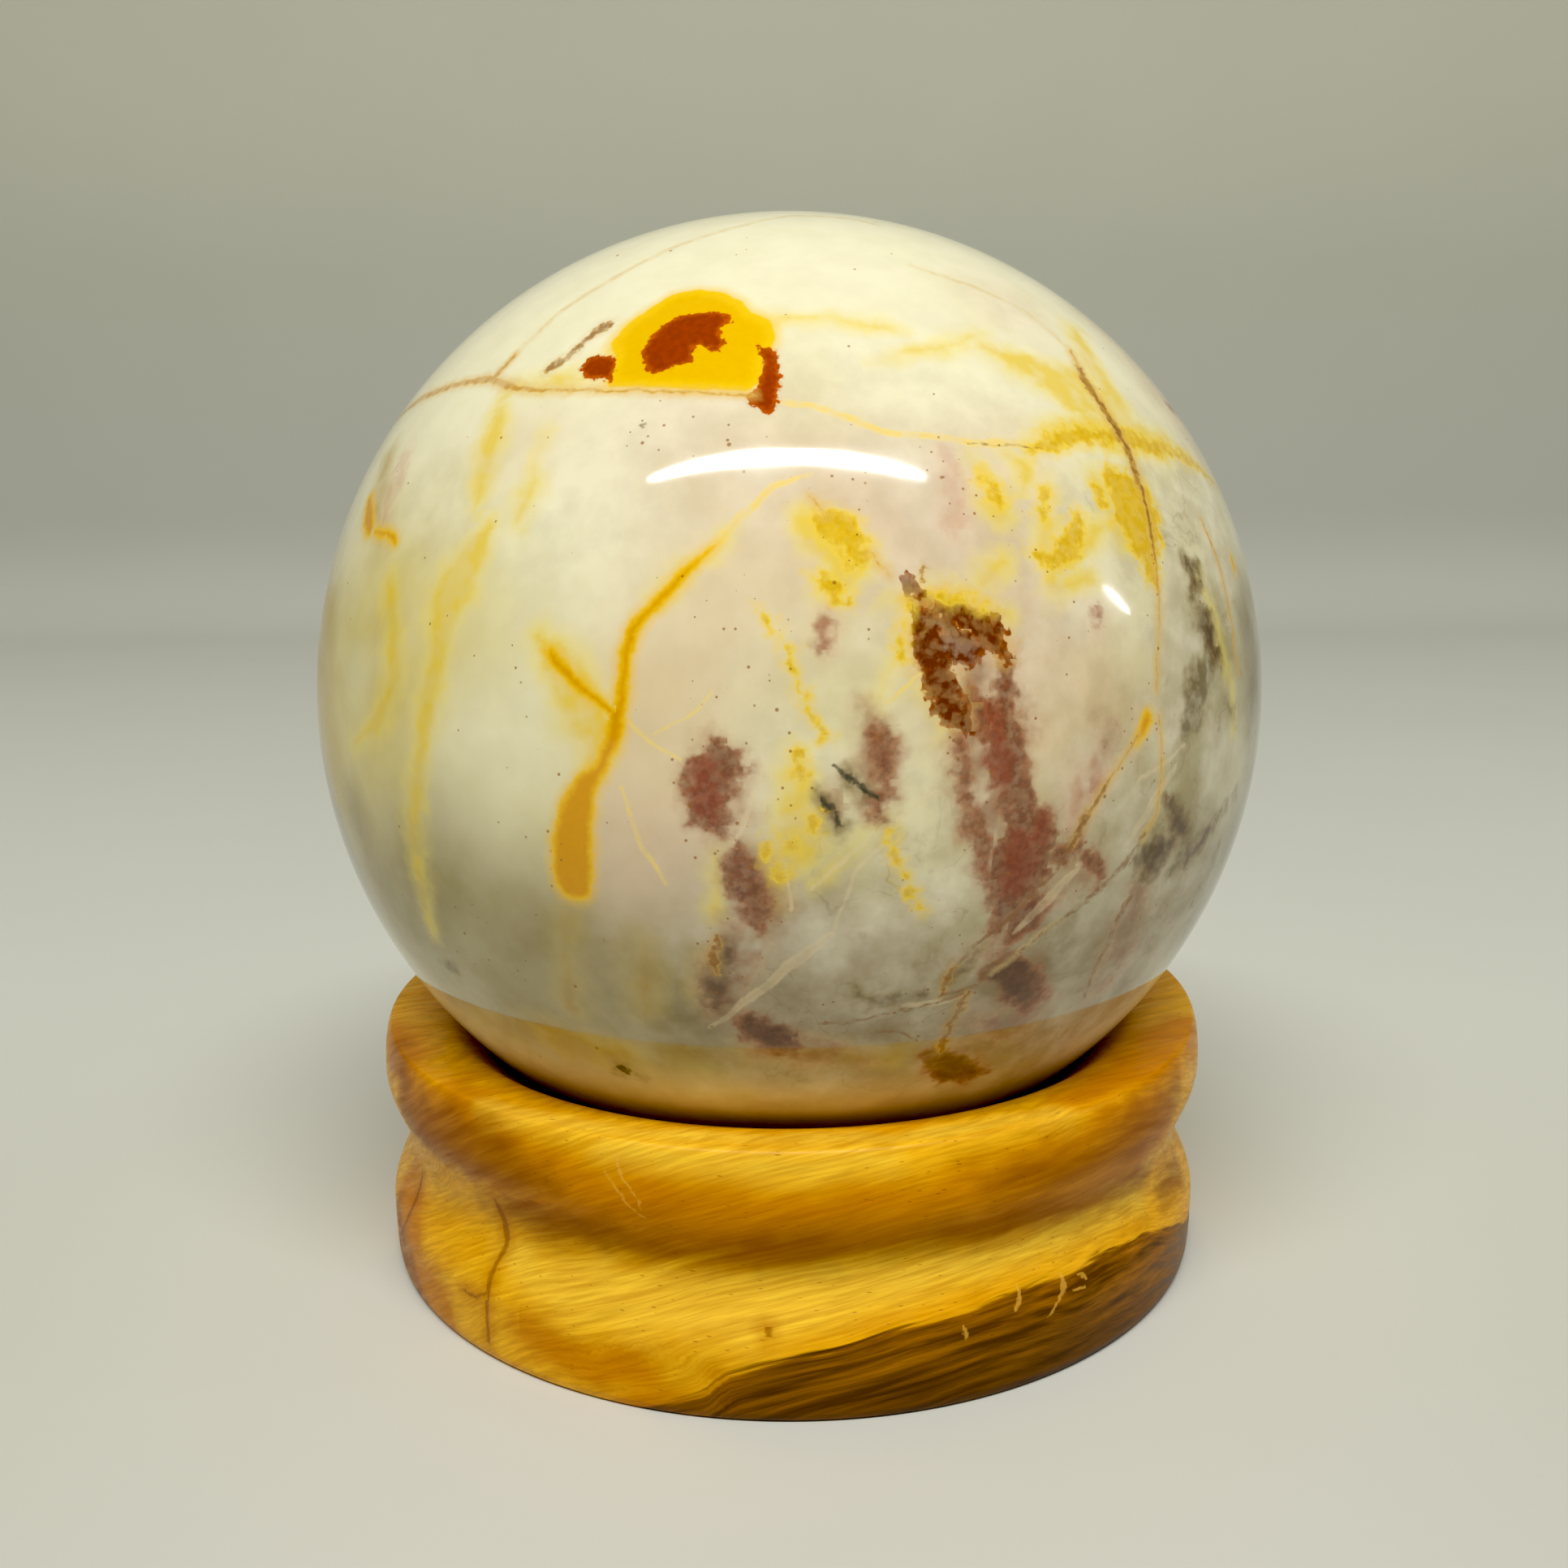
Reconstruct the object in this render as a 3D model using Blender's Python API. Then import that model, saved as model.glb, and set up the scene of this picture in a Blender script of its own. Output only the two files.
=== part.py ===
"""A polished stone sphere that rests in a turned wooden ring stand.

Metres, +Z up. The origin is at the centre of the stand's underside, on the turning axis, and -Y is the
side that shows the stone's best face. They are two separate pieces: the sphere only sits in the ring's
conical seat, and lifts straight out.
"""

import math

import bmesh
import bpy

# The stone, and how far it stays off the seat that carries it
SPHERE_DIAMETER = 0.0800
REST_GAP = 0.0003

# The seat, a cone that the sphere touches along one circle, with some of it below and above that circle
SEAT_SLOPE_DEG = 36.0
SEAT_BELOW_CONTACT = 0.0037
SEAT_ABOVE_CONTACT = 0.0066

# The stand's widths, each measured outwards from the last one
CROWN_WIDTH = 0.0052
UPPER_BEAD_PROUD = 0.0008
WAIST_DEPTH = 0.0019
LOWER_BEAD_PROUD = 0.0018
FOOT_INSET = 0.0002

# The stand's heights, each measured upwards from the last one
FOOT_ROUND = 0.0006
LOWER_BEAD_RISE = 0.0042
LOWER_COVE_RISE = 0.0057
UPPER_COVE_RISE = 0.0066
LIP_RISE = 0.0038

# The crown falls this much from its outer lip to the seat's mouth
CROWN_DROP = 0.0007
BORE_CHAMFER = 0.0010

# How finely the round shapes are faceted
STAND_SIDES = 72
SPHERE_SIDES = 64
SPHERE_BANDS = 32
ROUND_STEPS = 3
COVE_STEPS = 6
LIP_STEPS = 5
SHARP_EDGE_DEG = 32.0

STONE_COLOUR = (0.76, 0.70, 0.55, 1.0)
STONE_ROUGHNESS = 0.12
WOOD_COLOUR = (0.50, 0.24, 0.04, 1.0)
WOOD_ROUGHNESS = 0.35


def level_to_upright(start, end, steps):
    """Points after start up to end on a quarter ellipse that sets off level and arrives upright."""
    width, rise = end[0] - start[0], end[1] - start[1]
    turns = [math.pi / 2 * i / steps for i in range(1, steps + 1)]
    return [(start[0] + width * math.sin(a), start[1] + rise * (1 - math.cos(a))) for a in turns]


def upright_to_level(start, end, steps):
    """Points after start up to end on a quarter ellipse that sets off upright and arrives level."""
    width, rise = end[0] - start[0], end[1] - start[1]
    turns = [math.pi / 2 * i / steps for i in range(1, steps + 1)]
    return [(start[0] + width * (1 - math.cos(a)), start[1] + rise * math.sin(a)) for a in turns]


def wave(start, end, steps):
    """Points after start up to end on half a cosine wave, upright at both ends."""
    width, rise = end[0] - start[0], end[1] - start[1]
    shares = [i / steps for i in range(1, steps + 1)]
    return [(start[0] + width * (1 - math.cos(math.pi * s)) / 2, start[1] + rise * s) for s in shares]


def shallow_dome(start, end, steps):
    """Points after start up to end on a parabola that sets off level and then falls."""
    width, rise = end[0] - start[0], end[1] - start[1]
    shares = [i / steps for i in range(1, steps + 1)]
    return [(start[0] + width * s, start[1] + rise * s * s) for s in shares]


def seat_contact_radius():
    """How far from the axis the sphere touches the conical seat."""
    return (SPHERE_DIAMETER / 2 + REST_GAP) * math.sin(math.radians(SEAT_SLOPE_DEG))


def stand_stations():
    """The named places on the stand's profile, each as (distance from the axis, height)."""
    contact = seat_contact_radius()
    bore = contact - SEAT_BELOW_CONTACT
    mouth = contact + SEAT_ABOVE_CONTACT
    lip = mouth + CROWN_WIDTH
    upper_bead = lip + UPPER_BEAD_PROUD
    waist = upper_bead - WAIST_DEPTH
    lower_bead = waist + LOWER_BEAD_PROUD
    foot = lower_bead - FOOT_INSET

    lower_bead_height = FOOT_ROUND + LOWER_BEAD_RISE
    waist_height = lower_bead_height + LOWER_COVE_RISE
    upper_bead_height = waist_height + UPPER_COVE_RISE
    lip_height = upper_bead_height + LIP_RISE
    mouth_height = lip_height - CROWN_DROP
    seat_fall_per_width = math.tan(math.radians(SEAT_SLOPE_DEG))
    contact_height = mouth_height - SEAT_ABOVE_CONTACT * seat_fall_per_width
    seat_foot_height = contact_height - SEAT_BELOW_CONTACT * seat_fall_per_width

    return {
        "bore_bottom": (bore + BORE_CHAMFER, 0.0),
        "foot_flat_edge": (foot - FOOT_ROUND, 0.0),
        "foot": (foot, FOOT_ROUND),
        "lower_bead": (lower_bead, lower_bead_height),
        "waist": (waist, waist_height),
        "upper_bead": (upper_bead, upper_bead_height),
        "lip": (lip, lip_height),
        "seat_mouth": (mouth, mouth_height),
        "seat_contact": (contact, contact_height),
        "seat_foot": (bore, seat_foot_height),
        "bore_chamfer_top": (bore, BORE_CHAMFER),
    }


def stand_profile():
    """The closed outline that is turned round the axis, from the bore's bottom edge outwards and up."""
    at = stand_stations()
    points = [at["bore_bottom"], at["foot_flat_edge"]]
    points += level_to_upright(at["foot_flat_edge"], at["foot"], ROUND_STEPS)
    points += level_to_upright(at["foot"], at["lower_bead"], ROUND_STEPS)
    points += wave(at["lower_bead"], at["waist"], COVE_STEPS)
    points += wave(at["waist"], at["upper_bead"], COVE_STEPS)
    points += upright_to_level(at["upper_bead"], at["lip"], LIP_STEPS)
    points += shallow_dome(at["lip"], at["seat_mouth"], ROUND_STEPS)
    points += [at["seat_foot"], at["bore_chamfer_top"]]
    return points


def sphere_centre_height():
    """The height of the sphere's centre, straight above the circle that it rests on."""
    above_contact = (SPHERE_DIAMETER / 2 + REST_GAP) * math.cos(math.radians(SEAT_SLOPE_DEG))
    return stand_stations()["seat_contact"][1] + above_contact


def make_material(name, colour, roughness):
    """A plain non-metallic material."""
    made = bpy.data.materials.new(name)
    made.use_nodes = True
    shader = made.node_tree.nodes["Principled BSDF"]
    shader.inputs["Base Color"].default_value = colour
    shader.inputs["Roughness"].default_value = roughness
    shader.inputs["Metallic"].default_value = 0.0
    made.diffuse_color = colour
    return made


def add_object(name, shape, material):
    """Turns a bmesh into a named, smoothly shaded object, and links it to the scene."""
    mesh = bpy.data.meshes.new(name)
    shape.to_mesh(mesh)
    shape.free()
    mesh.shade_smooth()
    mesh.set_sharp_from_angle(angle=math.radians(SHARP_EDGE_DEG))
    mesh.materials.append(material)
    made = bpy.data.objects.new(name, mesh)
    bpy.context.scene.collection.objects.link(made)
    return made


def turned_ring(profile):
    """Spins a closed outline once round the Z axis."""
    shape = bmesh.new()
    corners = [shape.verts.new((radius, 0.0, height)) for radius, height in profile]
    edges = [shape.edges.new(pair) for pair in zip(corners, corners[1:] + corners[:1])]
    bmesh.ops.spin(
        shape,
        geom=corners + edges,
        cent=(0, 0, 0),
        axis=(0, 0, 1),
        angle=2 * math.pi,
        steps=STAND_SIDES,
        use_merge=True,
    )
    bmesh.ops.recalc_face_normals(shape, faces=shape.faces)
    return shape


def make_ring_stand():
    """The wooden ring: a flat foot, two beads with a cove between them, a domed crown and the seat."""
    wood = make_material("lacquered_wood", WOOD_COLOUR, WOOD_ROUGHNESS)
    add_object("ring_stand", turned_ring(stand_profile()), wood)


def make_stone_sphere():
    """The polished stone, placed where it comes to rest in the seat."""
    shape = bmesh.new()
    bmesh.ops.create_uvsphere(
        shape,
        u_segments=SPHERE_SIDES,
        v_segments=SPHERE_BANDS,
        radius=SPHERE_DIAMETER / 2,
    )
    stone = make_material("polished_stone", STONE_COLOUR, STONE_ROUGHNESS)
    sphere = add_object("stone_sphere", shape, stone)
    sphere.location = (0.0, 0.0, sphere_centre_height())


def main():
    for old in list(bpy.data.objects):
        bpy.data.objects.remove(old)
    make_ring_stand()
    make_stone_sphere()


main()
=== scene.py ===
# %% [markdown]
# # A polished stone ball on a turned wooden ring
#
# The ornament has two pieces. One is a ball of marbled stone, polished until it mirrors the lamp above it.
# The other is a ring turned from golden brown wood, with two beads and a cove between them, that keeps the
# ball from rolling. The stone's markings are the whole point of the piece, so most of this script paints
# them: each vein and stain is a stroke laid on the ball's surface, and the material gives the stroke its
# ragged edge, its colour and its grain.

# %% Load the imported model
import math

import bmesh
import bpy
import numpy as np
from mathutils import Matrix, Vector
from mathutils.bvhtree import BVHTree


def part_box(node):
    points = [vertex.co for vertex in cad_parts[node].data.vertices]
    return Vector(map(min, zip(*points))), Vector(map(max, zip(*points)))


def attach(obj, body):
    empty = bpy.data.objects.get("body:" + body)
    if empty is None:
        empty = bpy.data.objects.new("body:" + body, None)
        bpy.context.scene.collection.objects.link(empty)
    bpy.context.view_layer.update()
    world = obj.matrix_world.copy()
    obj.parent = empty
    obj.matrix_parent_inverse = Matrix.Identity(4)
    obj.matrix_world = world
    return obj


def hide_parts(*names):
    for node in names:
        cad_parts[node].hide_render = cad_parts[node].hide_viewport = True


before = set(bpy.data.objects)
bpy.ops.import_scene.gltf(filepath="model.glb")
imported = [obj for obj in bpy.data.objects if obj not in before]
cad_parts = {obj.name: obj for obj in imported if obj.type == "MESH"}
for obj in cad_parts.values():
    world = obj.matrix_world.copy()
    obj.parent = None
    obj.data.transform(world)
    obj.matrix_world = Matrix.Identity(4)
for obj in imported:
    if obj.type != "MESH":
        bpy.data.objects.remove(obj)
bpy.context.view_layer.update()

MM = 0.001
BALL_LOW, BALL_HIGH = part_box("stone_sphere")
STAND_LOW, STAND_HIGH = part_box("ring_stand")
RADIUS = (BALL_HIGH.z - BALL_LOW.z) / 2
CENTRE = (BALL_LOW + BALL_HIGH) / 2
STAND_RADIUS = STAND_HIGH.x
STAND_HEIGHT = STAND_HIGH.z
print(f"ball radius {RADIUS / MM:.1f} mm, stand {2 * STAND_RADIUS / MM:.1f} x {STAND_HEIGHT / MM:.1f} mm")

# %% [markdown]
# ## The camera
#
# A phone camera took the picture from close by, a little above the ball. Close pictures bend proportions,
# so a long lens from further away would show too much of the ring. The distance here is counted in ball
# radii, because that ratio alone decides how the ball hides the ring's far side.

# %% Camera
IMAGE_PX = 1932
FOCAL_PX = 1945
SENSOR_MM = 36.0
BACK_IN_RADII = 3.457
UP_IN_RADII = 1.694
LOOK_DOWN_DEG = 11.45
TURN_LEFT_DEG = 0.2
ROLL_DEG = -0.5


def make_camera():
    """The camera, in front of the ball on -Y and looking slightly down."""
    lens = bpy.data.cameras.new("camera")
    lens.sensor_width = SENSOR_MM
    lens.lens = SENSOR_MM * FOCAL_PX / IMAGE_PX
    lens.clip_start = 0.01
    camera = bpy.data.objects.new("camera", lens)
    tilt = Matrix.Rotation(math.radians(90 - LOOK_DOWN_DEG), 4, "X")
    roll = Matrix.Rotation(math.radians(ROLL_DEG), 4, "Z")
    turn = Matrix.Rotation(math.radians(TURN_LEFT_DEG), 4, "Z")
    place = Matrix.Translation((0, -BACK_IN_RADII * RADIUS, UP_IN_RADII * RADIUS))
    camera.matrix_world = place @ turn @ tilt @ roll
    bpy.context.scene.collection.objects.link(camera)
    bpy.context.scene.camera = camera
    return camera.matrix_world.copy()


VIEW = make_camera()
print(f"lens {SENSOR_MM * FOCAL_PX / IMAGE_PX:.2f} mm at {BACK_IN_RADII * RADIUS / MM:.0f} mm from the axis")

# %% [markdown]
# ## Two round shapes
#
# Blender's UV sphere gathers its faces at two poles, and its icosphere is made of triangles. A cube whose
# sides are swollen into a ball has even quads everywhere, which suits a surface that gets painted all over.
#
# The ring is turned from one outline, as the woodturner does it. Its cove is a wave that runs smoothly from
# one bead to the other, and its crown is a shallow dome that ends at the seat.

# %% Ball shape
BALL_CELLS = 128
POLISHED_OFF = 0.001 * MM


def ball_mesh(name, radius, centre):
    """A cube's sides, each cut into a grid and swollen into a ball."""
    shape = bmesh.new()
    bmesh.ops.create_cube(shape, size=2)
    bmesh.ops.subdivide_edges(shape, edges=shape.edges[:], cuts=BALL_CELLS - 1, use_grid_fill=True)
    mesh = bpy.data.meshes.new(name)
    shape.to_mesh(mesh)
    shape.free()
    flat = np.empty(len(mesh.vertices) * 3)
    mesh.vertices.foreach_get("co", flat)
    rays = np.tan(flat.reshape(-1, 3) * math.pi / 4)
    rays /= np.linalg.norm(rays, axis=1, keepdims=True)
    mesh.vertices.foreach_set("co", (rays * radius + np.array(centre)).ravel())
    mesh.shade_smooth()
    return mesh


def add_piece(name, mesh):
    """Links a mesh to the scene as a piece that goes with the model's one body."""
    piece = bpy.data.objects.new(name, mesh)
    bpy.context.scene.collection.objects.link(piece)
    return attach(piece, "root")


ball = add_piece("marbled_ball", ball_mesh("marbled_ball", RADIUS - POLISHED_OFF, CENTRE))
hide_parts("stone_sphere")
print(f"ball: {len(ball.data.polygons)} quads")

# %% Ring shape
RING_SIDES = 320
FOOT_ROUND = 0.6 * MM
FOOT_INSET = 0.3 * MM
LOWER_BEAD_INSET = 0.1 * MM
LOWER_BEAD_HEIGHT = 4.8 * MM
WAIST_INSET = 1.9 * MM
WAIST_HEIGHT = 10.5 * MM
UPPER_BEAD_DROP = 3.8 * MM
LIP_INSET = 0.8 * MM
CROWN_WIDTH = 5.2 * MM
CROWN_DROP = 0.7 * MM
SEAT_WIDTH = 10.3 * MM
SEAT_SLOPE_DEG = 36.0
BORE_CHAMFER = 1.0 * MM
SHARP_EDGE_DEG = 30.0


def run(start, end, steps, across, up):
    """Points after start up to end, whose two shares of the way follow the functions across and up."""
    shares = [i / steps for i in range(1, steps + 1)]
    (x0, z0), (x1, z1) = start, end
    return [(x0 + (x1 - x0) * across(s), z0 + (z1 - z0) * up(s)) for s in shares]


def slow_start(share):
    return 1 - math.cos(share * math.pi / 2)


def slow_end(share):
    return math.sin(share * math.pi / 2)


def slow_both(share):
    return (1 - math.cos(share * math.pi)) / 2


def evenly(share):
    return share


def ring_outline():
    """The closed outline of the ring, from the bore's bottom edge outwards, up and back in."""
    bore = STAND_RADIUS - LIP_INSET - CROWN_WIDTH - SEAT_WIDTH
    lip = (STAND_RADIUS - LIP_INSET, STAND_HEIGHT)
    mouth = (lip[0] - CROWN_WIDTH, STAND_HEIGHT - CROWN_DROP)
    seat_foot = (bore, mouth[1] - SEAT_WIDTH * math.tan(math.radians(SEAT_SLOPE_DEG)))
    foot = (STAND_RADIUS - FOOT_INSET, FOOT_ROUND)
    foot_flat = (foot[0] - FOOT_ROUND, 0.0)
    lower_bead = (STAND_RADIUS - LOWER_BEAD_INSET, LOWER_BEAD_HEIGHT)
    waist = (STAND_RADIUS - WAIST_INSET, WAIST_HEIGHT)
    upper_bead = (STAND_RADIUS, STAND_HEIGHT - UPPER_BEAD_DROP)
    chamfer_end = (bore + BORE_CHAMFER, 0.0)
    outline = [chamfer_end]
    outline += run(chamfer_end, foot_flat, 12, evenly, evenly)
    outline += run(foot_flat, foot, 5, slow_end, slow_start)
    outline += run(foot, lower_bead, 10, slow_end, slow_start)
    outline += run(lower_bead, waist, 18, slow_both, evenly)
    outline += run(waist, upper_bead, 18, slow_both, evenly)
    outline += run(upper_bead, lip, 14, slow_start, slow_end)
    outline += run(lip, mouth, 12, evenly, lambda share: share**2)
    outline += run(mouth, seat_foot, 16, evenly, evenly)
    outline += run(seat_foot, (bore, BORE_CHAMFER), 12, evenly, evenly)
    return outline


def turned_mesh(name, outline, sides):
    """Spins a closed outline once round the Z axis, all in quads."""
    shape = bmesh.new()
    corners = [shape.verts.new((x, 0, z)) for x, z in outline]
    edges = [shape.edges.new(pair) for pair in zip(corners, corners[1:] + corners[:1])]
    around = dict(cent=(0, 0, 0), axis=(0, 0, 1), angle=2 * math.pi, steps=sides)
    bmesh.ops.spin(shape, geom=corners + edges, use_merge=True, **around)
    bmesh.ops.recalc_face_normals(shape, faces=shape.faces)
    mesh = bpy.data.meshes.new(name)
    shape.to_mesh(mesh)
    shape.free()
    mesh.shade_smooth()
    mesh.set_sharp_from_angle(angle=math.radians(SHARP_EDGE_DEG))
    return mesh


ring = add_piece("turned_ring", turned_mesh("turned_ring", ring_outline(), RING_SIDES))
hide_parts("ring_stand")
print(f"ring: {len(ring.data.polygons)} quads")

# %% [markdown]
# ## Painting with strokes
#
# A vein in stone is a crack that filled up with another mineral, so on the surface it is a line of changing
# width. An image texture would need a flat map of the ball. Here each vein is instead a short list of
# points, as someone would trace it over the picture with a pen: across, down and width, in pixels of the
# picture. A ray through the camera puts each point on the surface.
#
# The mesh then keeps two numbers at each corner of each face: how far that corner is from the middle of
# the nearest stroke, to the left or the right, and how far the stroke reaches there. They change smoothly
# across a face, so a material can draw from them an edge that is far finer than the mesh.

# %% From the picture to the surface
MIDDLE_PX = IMAGE_PX / 2
CURVE_STEPS = 5
EDGE_ROOM_MM = 4.0
OUTLINE_ROOM_MM = 15.0
THINNEST_PX = 0.5
MOST_SLANT = 1.8
NOWHERE_MM = -60.0


def curve_through(points):
    """Points on a smooth curve through the given ones, which may hold any number of values each."""
    given = np.array(points, float)
    ends = np.vstack([2 * given[0] - given[1], given, 2 * given[-1] - given[-2]])
    made = []
    for before, start, end, after in zip(ends, ends[1:], ends[2:], ends[3:]):
        for share in np.arange(CURVE_STEPS) / CURVE_STEPS:
            bend = 2 * before - 5 * start + 4 * end - after
            twist = 3 * start - before - 3 * end + after
            made.append(start + 0.5 * share * (end - before + share * (bend + share * twist)))
    return np.array(made + [given[-1]])


class Canvas:
    """A piece of quads that strokes can be laid on, with its corners in millimetres."""

    def __init__(self, piece):
        self.mesh = piece.data
        places = np.empty(len(self.mesh.vertices) * 3)
        self.mesh.vertices.foreach_get("co", places)
        self.places = places.reshape(-1, 3) / MM
        self.middle = Vector(self.places.mean(0))
        order = np.empty(len(self.mesh.loops), int)
        self.mesh.loops.foreach_get("vertex_index", order)
        self.corners = self.places[order].reshape(-1, 4, 3)
        self.middles = self.corners.mean(1)
        facings = np.empty(len(self.mesh.polygons) * 3)
        self.mesh.polygons.foreach_get("normal", facings)
        self.facings = facings.reshape(-1, 3)
        faces = [tuple(face) for face in order.reshape(-1, 4)]
        self.tree = BVHTree.FromPolygons([Vector(place) for place in self.places], faces)

    def seen_at(self, x, y):
        """The place on the surface that a pixel shows, or the nearest to it past the edge."""
        aim = Vector(((x - MIDDLE_PX) / FOCAL_PX, (MIDDLE_PX - y) / FOCAL_PX, -1)).normalized()
        aim = VIEW.to_3x3() @ aim
        eye = VIEW.translation / MM
        place = self.tree.ray_cast(eye, aim)[0]
        if place is None:
            place = self.tree.find_nearest(eye + aim * (self.middle - eye).dot(aim))[0]
        return np.array(place)

    def trace(self, stroke):
        """A stroke's smooth path on the surface, and how far it reaches to each side, in millimetres."""
        points = curve_through(stroke)
        heading = np.gradient(points[:, :2], axis=0)
        heading /= np.linalg.norm(heading, axis=1, keepdims=True)
        path, reach = [], []
        for (x, y, width), (right, down) in zip(points, heading):
            half = max(width, THINNEST_PX) / 2
            edges = [self.seen_at(x - down * side, y + right * side) for side in (half, -half)]
            path.append(self.seen_at(x, y))
            facing_on = np.linalg.norm(path[-1] - np.array(VIEW.translation) / MM) * half / FOCAL_PX
            reach.append(min(np.linalg.norm(edges[0] - edges[1]) / 2, MOST_SLANT * facing_on))
        return np.array(path), np.array(reach)

    def keep(self, name, values):
        """Stores a vector for each corner of each face, under a name that a material can ask for."""
        layer = self.mesh.attributes.new(name, "FLOAT_VECTOR", "CORNER")
        layer.data.foreach_set("vector", values.astype(np.float32).ravel())

    def lay_strokes(self, name, traced):
        """Stores each corner's distance from the stroke that covers its face best."""
        values = np.tile((0.0, NOWHERE_MM, 0.0), (len(self.middles), 4, 1))
        deepest = np.full(len(self.middles), -np.inf)
        for path, reach in traced:
            room = reach.max() + EDGE_ROOM_MM
            low, high = path.min(0) - room, path.max(0) + room
            near = np.flatnonzero(((self.middles > low) & (self.middles < high)).all(1))
            side, width, ended = beside(self.middles[near], self.facings[near], path, reach)
            better = width - abs(side) > deepest[near]
            near, ended = near[better], ended[better]
            deepest[near] = (width - abs(side))[better]
            facings = np.repeat(self.facings[near], 4, axis=0)
            side, width, _ = beside(self.corners[near].reshape(-1, 3), facings, path, reach)
            side = np.where(np.repeat(ended, 4), abs(side), side)
            values[near] = np.stack([side, width, 0 * side], -1).reshape(-1, 4, 3)
        self.keep(name, values)

    def lay_outlines(self, name, outlines):
        """Stores how deep each corner lies inside the nearest of some closed outlines."""
        corners = self.corners.reshape(-1, 3)
        depth = np.full(len(corners), NOWHERE_MM)
        for outline in outlines:
            near = np.flatnonzero(np.linalg.norm(corners - outline.mean(0), axis=1) < OUTLINE_ROOM_MM)
            depth[near] = np.maximum(depth[near], depth_inside(corners[near], outline))
        none = np.zeros_like(depth)
        self.keep(name, np.stack([none, depth, none], -1))


def beside(points, facings, path, reach):
    """How far points are to the side of a path, its reach there, and if they lie past its ends."""
    start, step = path[:-1], np.diff(path, axis=0)
    stretch = np.maximum(np.linalg.norm(step, axis=1), 1e-6)
    offset = points[:, None] - start
    share = np.clip((offset * step).sum(2) / stretch**2, 0, 1)
    gap = offset - share[..., None] * step
    distance = np.linalg.norm(gap, axis=2)
    nearest = distance.argmin(1)
    rows = np.arange(len(points))
    share, gap, distance = share[rows, nearest], gap[rows, nearest], distance[rows, nearest]
    left = (np.cross(step[nearest], facings) * gap).sum(1) > 0
    first = (nearest == 0) & (share == 0)
    last = (nearest == len(step) - 1) & (share == 1)
    width = reach[nearest] * (1 - share) + reach[nearest + 1] * share
    return np.where(left, distance, -distance), width, first | last


def depth_inside(points, outline):
    """How deep points lie inside a closed outline, both flattened along the outline's own facing."""
    middle = outline.mean(0)
    facing = (middle - np.array(CENTRE) / MM) / np.linalg.norm(middle - np.array(CENTRE) / MM)
    right = np.cross((0, 0, 1), facing)
    right /= np.linalg.norm(right)
    plane = np.stack([right, np.cross(facing, right)], -1)
    spots, start = (points - middle) @ plane, (outline - middle) @ plane
    end = np.roll(start, -1, axis=0)
    step = end - start
    offset = spots[:, None] - start
    share = np.clip((offset * step).sum(2) / (step**2).sum(1), 0, 1)
    distance = np.linalg.norm(offset - share[..., None] * step, axis=2).min(1)
    level = spots[:, None, 1]
    crossing = (start[:, 1] > level) != (end[:, 1] > level)
    slope = step[:, 0] / np.where(step[:, 1] == 0, 1e-9, step[:, 1])
    crossing &= spots[:, None, 0] < start[:, 0] + slope * (level - start[:, 1])
    inside = crossing.sum(1) % 2 == 1
    return np.where(inside, distance, -distance)


ball_canvas = Canvas(ball)
ring_canvas = Canvas(ring)
print("the middle of the picture shows", ball_canvas.seen_at(MIDDLE_PX, MIDDLE_PX).round(1), "mm")

# %% [markdown]
# ## Node helpers
#
# A material is a drawing of nodes and links. Written out one by one they bury the idea, so a few short
# helpers add a node, do a sum, blend two colours or make a group. Effects that more than one material
# wants become groups, which show up in Blender's Add menu with named sockets.

# %% Node helpers


def tint(red, green, blue):
    """A colour as picture editors give it, 0 to 255, turned into the linear values that shaders use."""
    shares = [value / 255 for value in (red, green, blue)]
    return tuple(s / 12.92 if s <= 0.04045 else ((s + 0.055) / 1.055) ** 2.4 for s in shares) + (1.0,)


def add(tree, kind, inputs=None, **settings):
    """Adds a node, sets it up, and feeds its inputs with links or plain values."""
    node = tree.nodes.new("ShaderNode" + kind)
    for name, value in settings.items():
        setattr(node, name, value)
    for name, value in (inputs or {}).items():
        if isinstance(value, bpy.types.NodeSocket):
            tree.links.new(value, node.inputs[name])
        else:
            node.inputs[name].default_value = value
    return node


def calc(tree, operation, first, second=0.0, third=0.0):
    """One sum on numbers."""
    return add(tree, "Math", {0: first, 1: second, 2: third}, operation=operation).outputs[0]


def blend(tree, share, low, high, mode="MIX"):
    """One colour over another by a share from 0 to 1."""
    node = add(tree, "Mix", {0: share, 6: low, 7: high}, data_type="RGBA", blend_type=mode)
    return node.outputs[2]


def wash(tree, colour, mask, share, over):
    """Covers a colour, as far as a share of a mask goes, with one given as picture editors give it."""
    return blend(tree, calc(tree, "MULTIPLY", mask, share), colour, tint(*over))


def ease(tree, value, low, high, to_low=0.0, to_high=1.0):
    """Maps a number from low..high to another range, with soft ends."""
    inputs = {0: value, 1: low, 2: high, 3: to_low, 4: to_high}
    return add(tree, "MapRange", inputs, interpolation_type="SMOOTHSTEP").outputs[0]


def noise(tree, point, size, detail=2.0, roughness=0.5):
    """Cloudy noise from 0 to 1, whose clouds are about size millimetres across."""
    inputs = {"Vector": point, "Scale": 1 / size, "Detail": detail, "Roughness": roughness}
    return add(tree, "TexNoise", inputs).outputs["Fac"]


def millimetres(tree):
    """The place on the piece, in millimetres, so that sizes in a material read as real sizes."""
    place = add(tree, "TexCoord").outputs["Object"]
    return add(tree, "VectorMath", {0: place, 3: 1 / MM}, operation="SCALE").outputs[0]


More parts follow.
